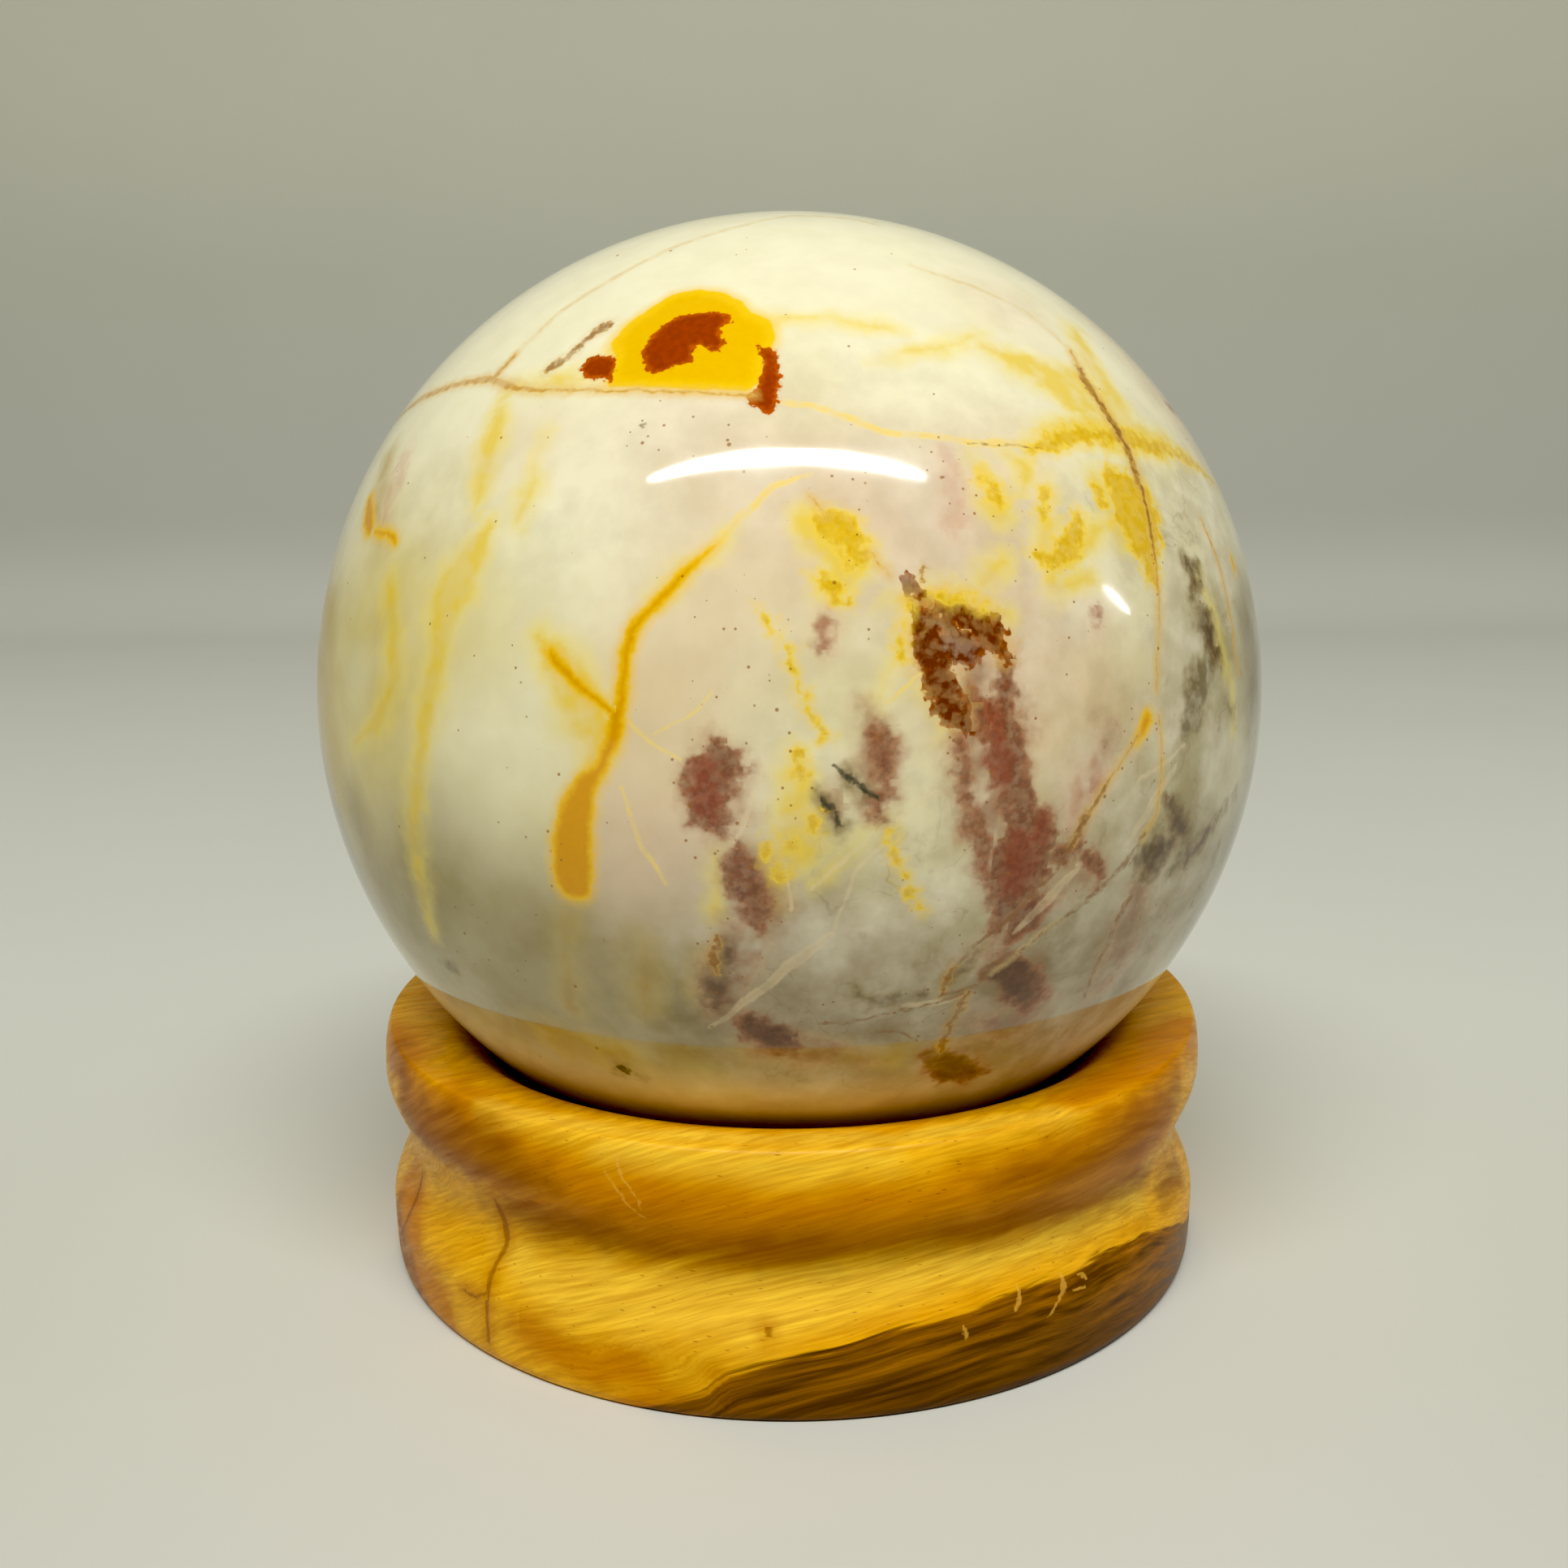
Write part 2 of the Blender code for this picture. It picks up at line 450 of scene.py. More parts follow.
def new_group(name, vector, numbers, outputs):
    """An empty node group that takes one vector and some numbers, and gives numbers."""
    group = bpy.data.node_groups.new(name, "ShaderNodeTree")
    group.interface.new_socket(vector, in_out="INPUT", socket_type="NodeSocketVector")
    for label, value in numbers.items():
        socket = group.interface.new_socket(label, in_out="INPUT", socket_type="NodeSocketFloat")
        socket.default_value = value
    for label in outputs:
        group.interface.new_socket(label, in_out="OUTPUT", socket_type="NodeSocketFloat")
    return group, group.nodes.new("NodeGroupInput").outputs, group.nodes.new("NodeGroupOutput").inputs


def use(tree, group, **inputs):
    """Adds a group to a tree. Underscores in the names stand for spaces."""
    named = {name.replace("_", " ").capitalize(): value for name, value in inputs.items()}
    return add(tree, "Group", named, node_tree=group).outputs


def new_material(name):
    """A material with its tree, its Principled shader and the place in millimetres."""
    material = bpy.data.materials.new(name)
    material.use_nodes = True
    tree = material.node_tree
    return material, tree, tree.nodes["Principled BSDF"], millimetres(tree)


# %% [markdown]
# ### Groups that both materials share
#
# `Ragged stroke` turns a stored stroke into masks. Real stains never end on a clean line: the edge wanders
# slowly, which is the wobble, and crumbles finely, which is the ragged part. Noise takes most of a
# render's time, so all the strokes that are about as coarse share theirs. `Halo` spreads a little past
# the edge, as iron does when it seeps out of a vein, and `Core` keeps to the middle, where the mineral is
# thickest. `Specks` scatters small round grains, `Clouds` is plain noise with its contrast raised, and
# `Threads` keeps only the thin lines where such clouds are half way between dark and light.

# %% Ragged stroke


def make_ragged_stroke():
    numbers = {"Sway": 0.0, "Crumble": 0.0, "Wobble": 0.2, "Ragged": 0.1, "Softness": 0.1,
               "Halo width": 0.5, "Core depth": 0.6}
    group, given, made = new_group("Ragged stroke", "Stroke", numbers, ["Mask", "Halo", "Core"])
    parts = add(group, "SeparateXYZ", {0: given["Stroke"]}).outputs
    side = calc(group, "MULTIPLY_ADD", given["Sway"], given["Wobble"], parts["X"])
    depth = calc(group, "SUBTRACT", parts["Y"], calc(group, "ABSOLUTE", side))
    depth = calc(group, "MULTIPLY_ADD", given["Crumble"], given["Ragged"], depth)
    outside = calc(group, "MULTIPLY", given["Softness"], -1.0)
    group.links.new(ease(group, depth, outside, given["Softness"]), made["Mask"])
    beyond = calc(group, "MULTIPLY", given["Halo width"], -1.0)
    group.links.new(ease(group, depth, beyond, 0.05), made["Halo"])
    group.links.new(ease(group, depth, 0.0, given["Core depth"]), made["Core"])
    return group


# %% Specks, clouds and threads


def make_specks():
    numbers = {"Spacing": 1.5, "Size": 0.1, "Share": 0.3}
    group, given, made = new_group("Specks", "Point", numbers, ["Mask"])
    cells_per_mm = calc(group, "DIVIDE", 1.0, given["Spacing"])
    grains = add(group, "TexVoronoi", {"Vector": given["Point"], "Scale": cells_per_mm}).outputs
    picked = add(group, "SeparateColor", {0: grains["Color"]}).outputs
    radius = calc(group, "DIVIDE", given["Size"], given["Spacing"])
    own = calc(group, "MULTIPLY", radius, calc(group, "MULTIPLY_ADD", picked["Green"], 1.2, 0.4))
    blob = ease(group, grains["Distance"], own, calc(group, "MULTIPLY", own, 0.5))
    chosen = calc(group, "LESS_THAN", picked["Red"], given["Share"])
    group.links.new(calc(group, "MULTIPLY", blob, chosen), made["Mask"])
    return group


def make_clouds():
    numbers = {"Size": 5.0, "Detail": 3.0, "Contrast": 2.0}
    group, given, made = new_group("Clouds", "Point", numbers, ["Value"])
    waves = {"Vector": given["Point"], "Scale": calc(group, "DIVIDE", 1.0, given["Size"]),
             "Detail": given["Detail"], "Roughness": 0.55}
    centred = calc(group, "SUBTRACT", add(group, "TexNoise", waves).outputs["Fac"], 0.5)
    terms = {0: centred, 1: given["Contrast"], 2: 0.5}
    value = add(group, "Math", terms, operation="MULTIPLY_ADD", use_clamp=True).outputs[0]
    group.links.new(value, made["Value"])
    return group


def make_threads():
    numbers = {"Size": 8.0, "Width": 0.02, "Detail": 2.0}
    group, given, made = new_group("Threads", "Point", numbers, ["Mask"])
    waves = {"Vector": given["Point"], "Scale": calc(group, "DIVIDE", 1.0, given["Size"]),
             "Detail": given["Detail"], "Roughness": 0.5, "Distortion": 0.4}
    centred = calc(group, "SUBTRACT", add(group, "TexNoise", waves).outputs["Fac"], 0.5)
    group.links.new(ease(group, calc(group, "ABSOLUTE", centred), given["Width"], 0.0), made["Mask"])
    return group


RAGGED_STROKE = make_ragged_stroke()
SPECKS = make_specks()
CLOUDS = make_clouds()
THREADS = make_threads()


def shared_waves(tree, point, size, detail):
    """Cloudy noise from -2 to 2. A tree keeps it under its size, so that strokes can share it."""
    label = f"waves {size} {detail}"
    if label not in tree.nodes:
        terms = {0: noise(tree, point, size, detail), 1: 4.0, 2: -2.0}
        add(tree, "Math", terms, operation="MULTIPLY_ADD", name=label)
    return tree.nodes[label].outputs[0]


def shared_gaps(tree, point, size):
    """Clouds of strong contrast that eat holes into strokes, shared in the same way."""
    label = f"gaps {size}"
    if label not in tree.nodes:
        settings = {"Point": point, "Size": size, "Detail": 2.0, "Contrast": 6.0}
        add(tree, "Group", settings, node_tree=CLOUDS, name=label)
    return tree.nodes[label].outputs["Value"]


def ragged_stroke(tree, point, kind, wobble_size=2.0, ragged_size=0.4, **edges):
    """The masks of one kind of stroke that is stored on the piece."""
    stored = add(tree, "Attribute", attribute_name=kind).outputs["Vector"]
    sway = shared_waves(tree, point, wobble_size, 1.0)
    crumble = shared_waves(tree, point, ragged_size, 2.0)
    return use(tree, RAGGED_STROKE, stroke=stored, sway=sway, crumble=crumble, **edges)


print("groups:", ", ".join(group.name for group in bpy.data.node_groups))


# %% [markdown]
# ## The stone's soft ground colours
#
# Under the veins the stone drifts from warm cream at the top to lemon white on the left, rose in the middle
# and grey green on the right. Towards the bottom and the edges it grows darker olive, smoke and moss: partly
# the stone's own grey green, partly painted shade where the ball turns down and away from the lamp. A few
# wide spots of colour, blended by their distance, give those drifts without any hard line. The far side
# can't be seen, so it gets the near side's markings turned over, end for end, which keeps the same kinds of
# vein at the same scale.

# %% Ground colours
CREAM = (244, 238, 198)
LEMON = (224, 208, 128)
MILK = (230, 221, 173)
ROSE = (222, 194, 160)
PEACH = (228, 204, 160)
SAGE = (172, 160, 112)
# The next three are darker grounds for the bottom and the edges of the ball: partly the stone's own grey
# green, partly painted shade.
SHADED_OLIVE = (146, 127, 68)
SHADED_SMOKE = (141, 119, 82)
SHADED_MOSS = (112, 96, 46)
MUSTARD = (204, 178, 84)
PLAIN, CLOUDY, MARBLED = 0.1, 0.5, 1.0

GROUND_SPOTS = [
    (980, 300, 330, CREAM, PLAIN), (760, 400, 200, CREAM, PLAIN), (1150, 330, 160, CREAM, PLAIN),
    (660, 450, 100, CREAM, PLAIN), (1230, 370, 60, PEACH, CLOUDY), (1010, 450, 70, MILK, CLOUDY),
    (1150, 480, 90, CREAM, CLOUDY), (1400, 440, 80, PEACH, CLOUDY), (1460, 500, 60, PEACH, CLOUDY),
    (860, 540, 120, ROSE, CLOUDY), (1060, 620, 110, ROSE, CLOUDY), (900, 760, 130, PEACH, PLAIN),
    (1160, 610, 90, ROSE, CLOUDY), (1240, 560, 60, PEACH, CLOUDY), (560, 520, 60, CREAM, PLAIN),
    (650, 540, 60, PEACH, PLAIN), (560, 620, 80, MILK, CLOUDY), (700, 640, 120, CREAM, CLOUDY),
    (500, 760, 110, LEMON, PLAIN), (580, 780, 70, LEMON, PLAIN), (640, 760, 80, MILK, PLAIN),
    (610, 900, 90, CREAM, PLAIN), (620, 980, 90, MILK, PLAIN), (460, 950, 90, LEMON, PLAIN),
    (820, 900, 90, PEACH, PLAIN), (800, 1080, 90, ROSE, PLAIN), (560, 1100, 110, SAGE, PLAIN),
    (680, 1180, 110, SHADED_OLIVE, PLAIN), (820, 1200, 80, SHADED_OLIVE, CLOUDY), (500, 1080, 90, SHADED_OLIVE, PLAIN),
    (960, 880, 70, MILK, CLOUDY), (1040, 820, 80, MILK, CLOUDY), (1300, 850, 130, PEACH, CLOUDY),
    (1260, 760, 100, ROSE, CLOUDY), (1350, 680, 80, MILK, MARBLED), (1460, 640, 90, MILK, MARBLED),
    (1480, 800, 100, SAGE, MARBLED), (1400, 760, 60, MILK, CLOUDY), (1400, 1000, 100, SAGE, MARBLED),
    (1120, 1080, 110, MILK, MARBLED), (1050, 1190, 120, SHADED_SMOKE, MARBLED), (1300, 1200, 110, SHADED_SMOKE, MARBLED),
    (1420, 1120, 90, SHADED_SMOKE, MARBLED), (900, 1180, 90, SHADED_SMOKE, MARBLED), (1090, 1000, 60, MILK, CLOUDY),
    (398, 790, 40, MUSTARD, PLAIN), (396, 860, 44, MUSTARD, PLAIN), (410, 940, 44, MUSTARD, PLAIN),
    (443, 830, 30, MILK, PLAIN), (470, 870, 30, MUSTARD, PLAIN), (480, 760, 34, MUSTARD, PLAIN),
    (1550, 850, 50, SHADED_MOSS, CLOUDY), (1548, 930, 56, SHADED_MOSS, CLOUDY), (1530, 1010, 60, SHADED_MOSS, CLOUDY),
    (1496, 1090, 60, SHADED_MOSS, CLOUDY), (408, 1000, 56, SHADED_MOSS, PLAIN), (432, 1070, 50, SHADED_MOSS, PLAIN),
    (890, 1230, 60, SHADED_MOSS, CLOUDY), (1540, 770, 40, SHADED_MOSS, CLOUDY),
    (1120, 1165, 60, SHADED_SMOKE, MARBLED), (440, 1000, 36, SHADED_OLIVE, PLAIN),
]
MILK_EVERYWHERE = 0.02
TURN_OVER_TILT_DEG = 35.0


def turned_over(path):
    """The same places on the far side: half a turn about a tilted axis through the ball's middle."""
    tilt = math.radians(TURN_OVER_TILT_DEG)
    axis = np.array((math.cos(tilt), 0, math.sin(tilt)))
    middle = np.array(CENTRE) / MM
    rays = path - middle
    return middle + 2 * np.outer(rays @ axis, axis) - rays


def paint_ground(canvas, name, spots):
    """Blends spots of colour over the whole piece. A vertex keeps the colour, and how cloudy it is."""
    total = np.full((len(canvas.places), 1), MILK_EVERYWHERE)
    paint = total * np.array((*tint(*MILK)[:3], CLOUDY))
    for x, y, spread, spot_tint, cloudy in spots:
        place = canvas.seen_at(x, y)
        reach = np.linalg.norm(place - np.array(VIEW.translation) / MM) * spread / FOCAL_PX
        for centre in (place, turned_over(place[None])[0]):
            away = np.linalg.norm(canvas.places - centre, axis=1, keepdims=True)
            weight = np.exp(-((away / reach) ** 2))
            total += weight
            paint += weight * np.array((*tint(*spot_tint)[:3], cloudy))
    layer = canvas.mesh.attributes.new(name, "FLOAT_COLOR", "POINT")
    layer.data.foreach_set("color", (paint / total).astype(np.float32).ravel())


paint_ground(ball_canvas, "ground", GROUND_SPOTS)
print(f"{len(GROUND_SPOTS)} ground spots blended")

# %% [markdown]
# ## The stone's veins and stains
#
# The lists below follow the picture from the top of the ball down. Each entry names one kind of mineral:
# iron rust in browns and yellows, plum haematite, grey green clay, and cream calcite that healed the last
# cracks. The ochre strokes low on the ball are the exception: they are mostly a painted reflection of the
# wooden ring, and only the one on the upper left is ochre in the stone. Kinds that lie over others come
# later.

# %% Yellow strokes
STONE_STROKES = {}
STONE_STROKES["soft_yellow"] = [
    [(622, 490, 14), (612, 520, 26), (603, 550, 32), (597, 590, 28), (588, 630, 14)],
    [(672, 530, 10), (664, 565, 16), (655, 600, 22), (645, 628, 26), (638, 648, 14)],
    [(604, 650, 20), (592, 672, 36), (566, 712, 60), (550, 752, 48), (540, 800, 38), (530, 850, 34),
     (516, 920, 28), (510, 1000, 26), (514, 1060, 22), (524, 1110, 16), (534, 1150, 10)],
    [(478, 720, 20), (486, 780, 26), (482, 840, 26), (462, 895, 24), (436, 915, 16)],
    [(640, 470, 14), (690, 466, 20), (730, 456, 26), (770, 420, 24), (795, 396, 20)],
    [(958, 392, 16), (1012, 394, 14), (1060, 398, 18), (1085, 400, 20), (1112, 408, 8)],
    [(1090, 446, 10), (1120, 436, 18), (1160, 426, 20), (1195, 418, 16), (1212, 410, 8)],
    [(1208, 424, 18), (1250, 446, 30), (1290, 462, 40), (1316, 474, 56), (1345, 490, 50)],
    [(1325, 405, 18), (1340, 440, 30), (1362, 480, 34), (1388, 520, 34), (1405, 545, 26)],
    [(1260, 552, 18), (1290, 540, 36), (1330, 528, 48), (1380, 532, 46), (1440, 548, 24)],
    [(664, 786, 36), (684, 812, 64), (702, 842, 76), (714, 874, 76), (726, 905, 60), (732, 940, 36)],
    [(1205, 570, 24), (1216, 600, 40), (1234, 630, 44)],
    [(1238, 560, 20), (1262, 580, 30), (1250, 610, 24)],
    [(1290, 590, 20), (1288, 640, 36), (1300, 690, 50), (1345, 660, 36), (1372, 640, 24)],
    [(1350, 590, 30), (1372, 610, 44), (1384, 650, 40)],
    [(1000, 650, 60), (1040, 690, 80), (1015, 730, 40)], [(1300, 720, 40), (1340, 710, 40)],
    [(1100, 742, 24), (1150, 738, 40), (1200, 745, 40), (1236, 760, 24)],
    [(1236, 690, 40), (1210, 720, 40)], [(985, 930, 30), (985, 985, 56), (985, 1030, 80), (962, 1070, 50)],
    [(885, 1045, 14), (882, 1080, 20), (880, 1130, 20)], [(955, 1080, 40), (955, 1120, 20)],
    [(1118, 765, 14), (1112, 800, 16), (1100, 840, 20), (1085, 870, 10)],
    [(1480, 715, 8), (1500, 780, 10), (1515, 840, 8), (1520, 900, 6)],
    [(1140, 850, 14), (1148, 880, 12), (1160, 905, 8)],
    [(1000, 1090, 8), (1060, 1040, 14), (1100, 1005, 8)],
    [(895, 655, 20), (868, 683, 24), (842, 708, 26), (815, 740, 24)],
]
STONE_STROKES["amber_line"] = [
    [(487, 520, 4), (500, 506, 6), (520, 491, 7), (545, 480, 6), (575, 471, 5), (604, 468, 8),
     (622, 474, 8), (660, 480, 5), (720, 481, 4), (800, 482, 4), (870, 484, 4), (928, 487, 4)],
    [(606, 468, 8), (618, 456, 6), (634, 438, 4)],
    [(1318, 430, 3), (1335, 465, 5), (1355, 494, 6), (1370, 522, 6), (1390, 553, 6), (1400, 582, 5),
     (1412, 622, 4), (1420, 660, 4), (1425, 700, 4), (1427, 735, 3), (1427, 800, 2), (1424, 850, 3)],
    [(1428, 880, 2), (1431, 930, 2), (1430, 970, 2), (1423, 1005, 3), (1408, 1032, 2)],
    [(1402, 907, 4), (1380, 940, 4), (1355, 980, 5), (1342, 1004, 3)],
    [(1070, 680, 3), (1084, 694, 3), (1097, 708, 2)], [(998, 612, 3), (1010, 626, 4), (1018, 638, 3)],
    [(1480, 640, 2), (1500, 690, 3), (1516, 760, 2), (1526, 830, 2)],
]
STONE_STROKES["gold"] = [
    [(880, 672, 5), (868, 683, 8), (842, 708, 15), (820, 733, 16), (800, 752, 15), (783, 772, 16),
     (773, 800, 17), (769, 830, 16), (766, 860, 17), (760, 885, 22), (756, 905, 24), (749, 925, 20),
     (738, 948, 20), (722, 968, 32), (710, 1000, 44), (706, 1035, 50), (705, 1066, 50), (706, 1086, 46)],
    [(678, 804, 14), (690, 820, 17), (706, 837, 17), (722, 852, 15), (740, 866, 15), (757, 878, 15)],
    [(1414, 885, 14), (1407, 902, 11), (1401, 914, 5)], [(455, 616, 10), (454, 636, 16), (456, 652, 12)],
    [(462, 655, 10), (478, 658, 12), (488, 668, 8)], [(1518, 690, 6), (1521, 702, 6)],
]
STONE_STROKES["gold_crumbs"] = [
    [(1270, 554, 12), (1290, 546, 24), (1330, 538, 20), (1373, 536, 18), (1400, 545, 16), (1440, 555, 12),
     (1470, 570, 9), (1498, 598, 6)],
    [(1008, 634, 10), (1024, 646, 40), (1044, 662, 44), (1052, 684, 34), (1050, 700, 14)],
    [(1004, 714, 12), (1014, 718, 22), (1030, 730, 18), (1042, 742, 12)],
    [(1374, 594, 26), (1390, 612, 54), (1404, 644, 52), (1412, 676, 34), (1421, 712, 12)],
    [(1276, 686, 14), (1300, 690, 34), (1316, 674, 32), (1326, 650, 26), (1328, 636, 10)],
    [(1215, 590, 16), (1226, 612, 20)], [(1290, 610, 14), (1286, 636, 12)],
    [(1352, 600, 8), (1360, 620, 14)], [(984, 932, 14), (988, 948, 18), (984, 964, 10)],
    [(966, 1038, 14), (976, 1042, 14)], [(1002, 1008, 14), (1003, 1026, 12)],
    [(956, 1068, 12), (962, 1080, 12)], [(940, 1040, 10), (944, 1060, 8)],
    [(1120, 748, 8), (1114, 780, 9), (1108, 815, 7)], [(1150, 736, 8), (1190, 738, 10), (1218, 752, 8)],
    [(938, 755, 5), (955, 780, 6), (972, 808, 6), (984, 840, 6), (990, 860, 7), (1004, 890, 6),
     (1014, 908, 8)], [(1095, 1022, 8), (1104, 1052, 10), (1115, 1082, 9), (1135, 1122, 6)],
]
STONE_STROKES["amber_hair"] = [
    [(957, 495, 6), (985, 497, 8), (1012, 504, 8), (1047, 515, 8), (1080, 529, 8), (1120, 536, 8),
     (1165, 540, 8), (1200, 546, 9), (1250, 547, 9), (1285, 552, 8)],
    [(1000, 583, 4), (975, 592, 6), (953, 601, 9), (920, 630, 12), (895, 655, 13), (868, 683, 13)],
    [(771, 885, 4), (790, 902, 5), (808, 918, 5), (837, 937, 3)],
    [(762, 965, 4), (775, 1000, 5), (790, 1040, 6), (806, 1066, 5), (823, 1095, 3)],
    [(800, 905, 3), (850, 880, 3), (880, 850, 2)], [(1092, 868, 5), (1112, 848, 6), (1136, 828, 4)],
]
STONE_STROKES["tan_hair"] = [
    [(1310, 1130, 5), (1270, 1160, 5), (1245, 1182, 6), (1220, 1200, 5)],
    [(628, 444, 7), (660, 412, 6), (700, 378, 6), (756, 343, 6), (835, 303, 6), (905, 280, 6),
     (960, 268, 7), (1000, 266, 8), (1050, 270, 8), (1085, 278, 5)],
    [(1120, 326, 6), (1160, 340, 5), (1210, 358, 5), (1255, 380, 4), (1290, 405, 5), (1322, 437, 4)],
]
STONE_STROKES["amber_crumbs"] = [
    [(676, 456, 9), (688, 446, 9), (700, 438, 6), (712, 428, 8), (724, 418, 8), (736, 409, 8),
     (748, 400, 10)],
    [(1192, 1222, 6), (1182, 1240, 10), (1172, 1262, 8), (1162, 1285, 10), (1156, 1300, 6)],
    [(1176, 1190, 8), (1168, 1206, 10), (1160, 1226, 6)],
    [(885, 1155, 10), (880, 1180, 14), (884, 1200, 8)],
    [(1328, 452, 5), (1342, 476, 9), (1360, 502, 6), (1376, 530, 9), (1392, 562, 6), (1404, 600, 7)],
    [(1140, 700, 6), (1136, 716, 5)], [(1338, 1000, 8), (1330, 1024, 10), (1318, 1044, 6)],
]
# Mostly painted reflection of the wooden ring on the bottom of the ball. Only the stroke on the upper left
# is ochre in the stone.
STONE_STROKES["ochre_and_ring_reflection"] = [
    [(700, 1118, 26), (700, 1180, 30), (704, 1240, 36)],
    [(790, 1160, 30), (794, 1205, 56), (788, 1250, 30)],
    [(660, 1262, 30), (700, 1284, 50), (760, 1300, 40)], [(880, 1180, 50), (868, 1220, 40)],
    [(920, 1290, 20), (1000, 1300, 30), (1100, 1300, 24)], [(480, 560, 20), (466, 610, 30), (470, 670, 20)],
]
print("kinds of yellow stroke:", ", ".join(STONE_STROKES))

# %% Brown, plum and grey strokes
STONE_STROKES["plum"] = [
    [(882, 914, 24), (884, 934, 58), (872, 964, 70), (872, 990, 60), (886, 1024, 28)],
    [(1196, 850, 16), (1210, 874, 34), (1216, 905, 26)], [(908, 950, 22), (918, 953, 16)],
    [(914, 1056, 28), (918, 1082, 56), (930, 1112, 46), (936, 1142, 16)],
    [(1084, 900, 26), (1092, 925, 34), (1088, 955, 24)],
    [(1094, 965, 18), (1086, 1000, 26), (1092, 1016, 14)],
    [(1214, 1200, 14), (1236, 1190, 38), (1258, 1206, 64), (1266, 1228, 42), (1262, 1244, 14)],
    [(1246, 1156, 16), (1262, 1134, 42), (1280, 1114, 26)],
    [(1292, 1062, 16), (1306, 1052, 30), (1328, 1042, 14)],
    [(1340, 1052, 14), (1350, 1072, 20), (1354, 1088, 8)],
    [(918, 1256, 18), (942, 1274, 44), (968, 1286, 28)],
    [(1214, 758, 10), (1230, 785, 18), (1242, 820, 20), (1240, 856, 38), (1240, 900, 50), (1246, 945, 48),
     (1254, 985, 48), (1268, 1012, 60), (1266, 1040, 76), (1254, 1076, 76), (1242, 1110, 46),
     (1230, 1144, 14)],
    [(1180, 905, 12), (1186, 950, 18), (1192, 985, 20), (1202, 1020, 22), (1212, 1050, 24),
     (1224, 1090, 24)], [(1146, 1302, 18), (1168, 1314, 36), (1196, 1326, 22)],
    [(1438, 498, 5), (1460, 520, 9), (1485, 557, 9), (1515, 606, 6)],
]
STONE_STROKES["faint_plum"] = [
    [(868, 930, 40), (905, 955, 50), (915, 1000, 40)], [(930, 1050, 40), (950, 1100, 56), (950, 1150, 50)],
    [(898, 1150, 50), (900, 1195, 80), (892, 1245, 56)],
    [(940, 1290, 34), (1000, 1300, 44), (1050, 1305, 30)],
    [(1068, 886, 40), (1084, 930, 70), (1072, 980, 60)], [(1026, 975, 30), (1030, 1005, 30)],
    [(1204, 800, 34), (1206, 840, 50), (1204, 880, 60)],
    [(1198, 870, 40), (1206, 905, 84), (1218, 960, 96), (1228, 1010, 92), (1238, 1060, 76)],
    [(1160, 1310, 30), (1200, 1296, 44), (1224, 1288, 20)],
    [(1290, 1100, 40), (1330, 1085, 40), (1350, 1060, 30)],
    [(1200, 1250, 30), (1240, 1265, 44), (1280, 1240, 30)],
    [(1352, 880, 16), (1366, 905, 30), (1350, 960, 30)],
    [(1400, 1100, 30), (1385, 1160, 40), (1360, 1210, 30)], [(1195, 1180, 24), (1225, 1160, 30)],
    [(1262, 870, 10), (1275, 900, 16), (1268, 930, 12)],
    [(1330, 940, 12), (1338, 975, 18), (1326, 1000, 12)],
]
STONE_STROKES["red"] = [
    [(1222, 870, 16), (1226, 910, 28), (1234, 960, 26)],
    [(1256, 1026, 20), (1258, 1060, 44), (1248, 1095, 24)], [(1284, 1004, 14), (1280, 1030, 28)],
    [(868, 944, 30), (870, 980, 44), (882, 1008, 20)], [(1016, 762, 10), (1014, 784, 18), (1012, 802, 14)],
    [(1348, 750, 8), (1353, 762, 10)],
]
STONE_STROKES["blush"] = [
    [(1024, 745, 18), (1018, 775, 30), (1014, 805, 22)],
    [(1346, 745, 14), (1352, 762, 18), (1354, 782, 10)], [(500, 556, 14), (488, 594, 26), (474, 636, 14)],
    [(1392, 632, 10), (1398, 655, 12)], [(1164, 556, 30), (1178, 600, 44), (1172, 650, 34)],
    [(1330, 1000, 50), (1345, 960, 50)],
]
STONE_STROKES["band_ground"] = [
    [(1118, 742, 12), (1148, 750, 34), (1190, 756, 44), (1226, 780, 24), (1240, 806, 12)],
    [(1134, 780, 40), (1148, 812, 34), (1160, 845, 40), (1178, 880, 26)],
]
STONE_STROKES["rust_band"] = [
    [(1112, 710, 8), (1121, 719, 24), (1128, 730, 14), (1134, 740, 6)],
    [(1127, 750, 14), (1140, 770, 42), (1150, 794, 48), (1156, 820, 42), (1162, 845, 48), (1172, 870, 50),
     (1186, 892, 28), (1192, 906, 10)],
    [(1150, 750, 18), (1180, 757, 36), (1208, 772, 36), (1224, 792, 20)],
    [(1150, 790, 40), (1176, 798, 44), (1198, 800, 34), (1210, 796, 16)],
    [(1216, 757, 12), (1232, 780, 20), (1242, 812, 18)],
    [(1142, 758, 16), (1176, 778, 26), (1208, 790, 14)],
]
STONE_STROKES["umber"] = [
    [(1222, 1198, 18), (1250, 1204, 54), (1262, 1228, 34)],
    [(926, 1262, 20), (946, 1274, 40), (968, 1286, 24)],
    [(1402, 1060, 16), (1424, 1054, 38), (1442, 1040, 18)],
    [(1150, 1304, 20), (1172, 1316, 36), (1196, 1326, 20)],
    [(896, 1170, 24), (886, 1210, 40), (880, 1240, 24)], [(1466, 696, 12), (1474, 718, 16)],
    [(1482, 762, 12), (1490, 784, 20), (1497, 804, 12)], [(1440, 992, 14), (1456, 1020, 20)],
    [(1500, 1010, 8), (1476, 1044, 14), (1462, 1062, 10)], [(1010, 978, 14), (1026, 1004, 20)],
]
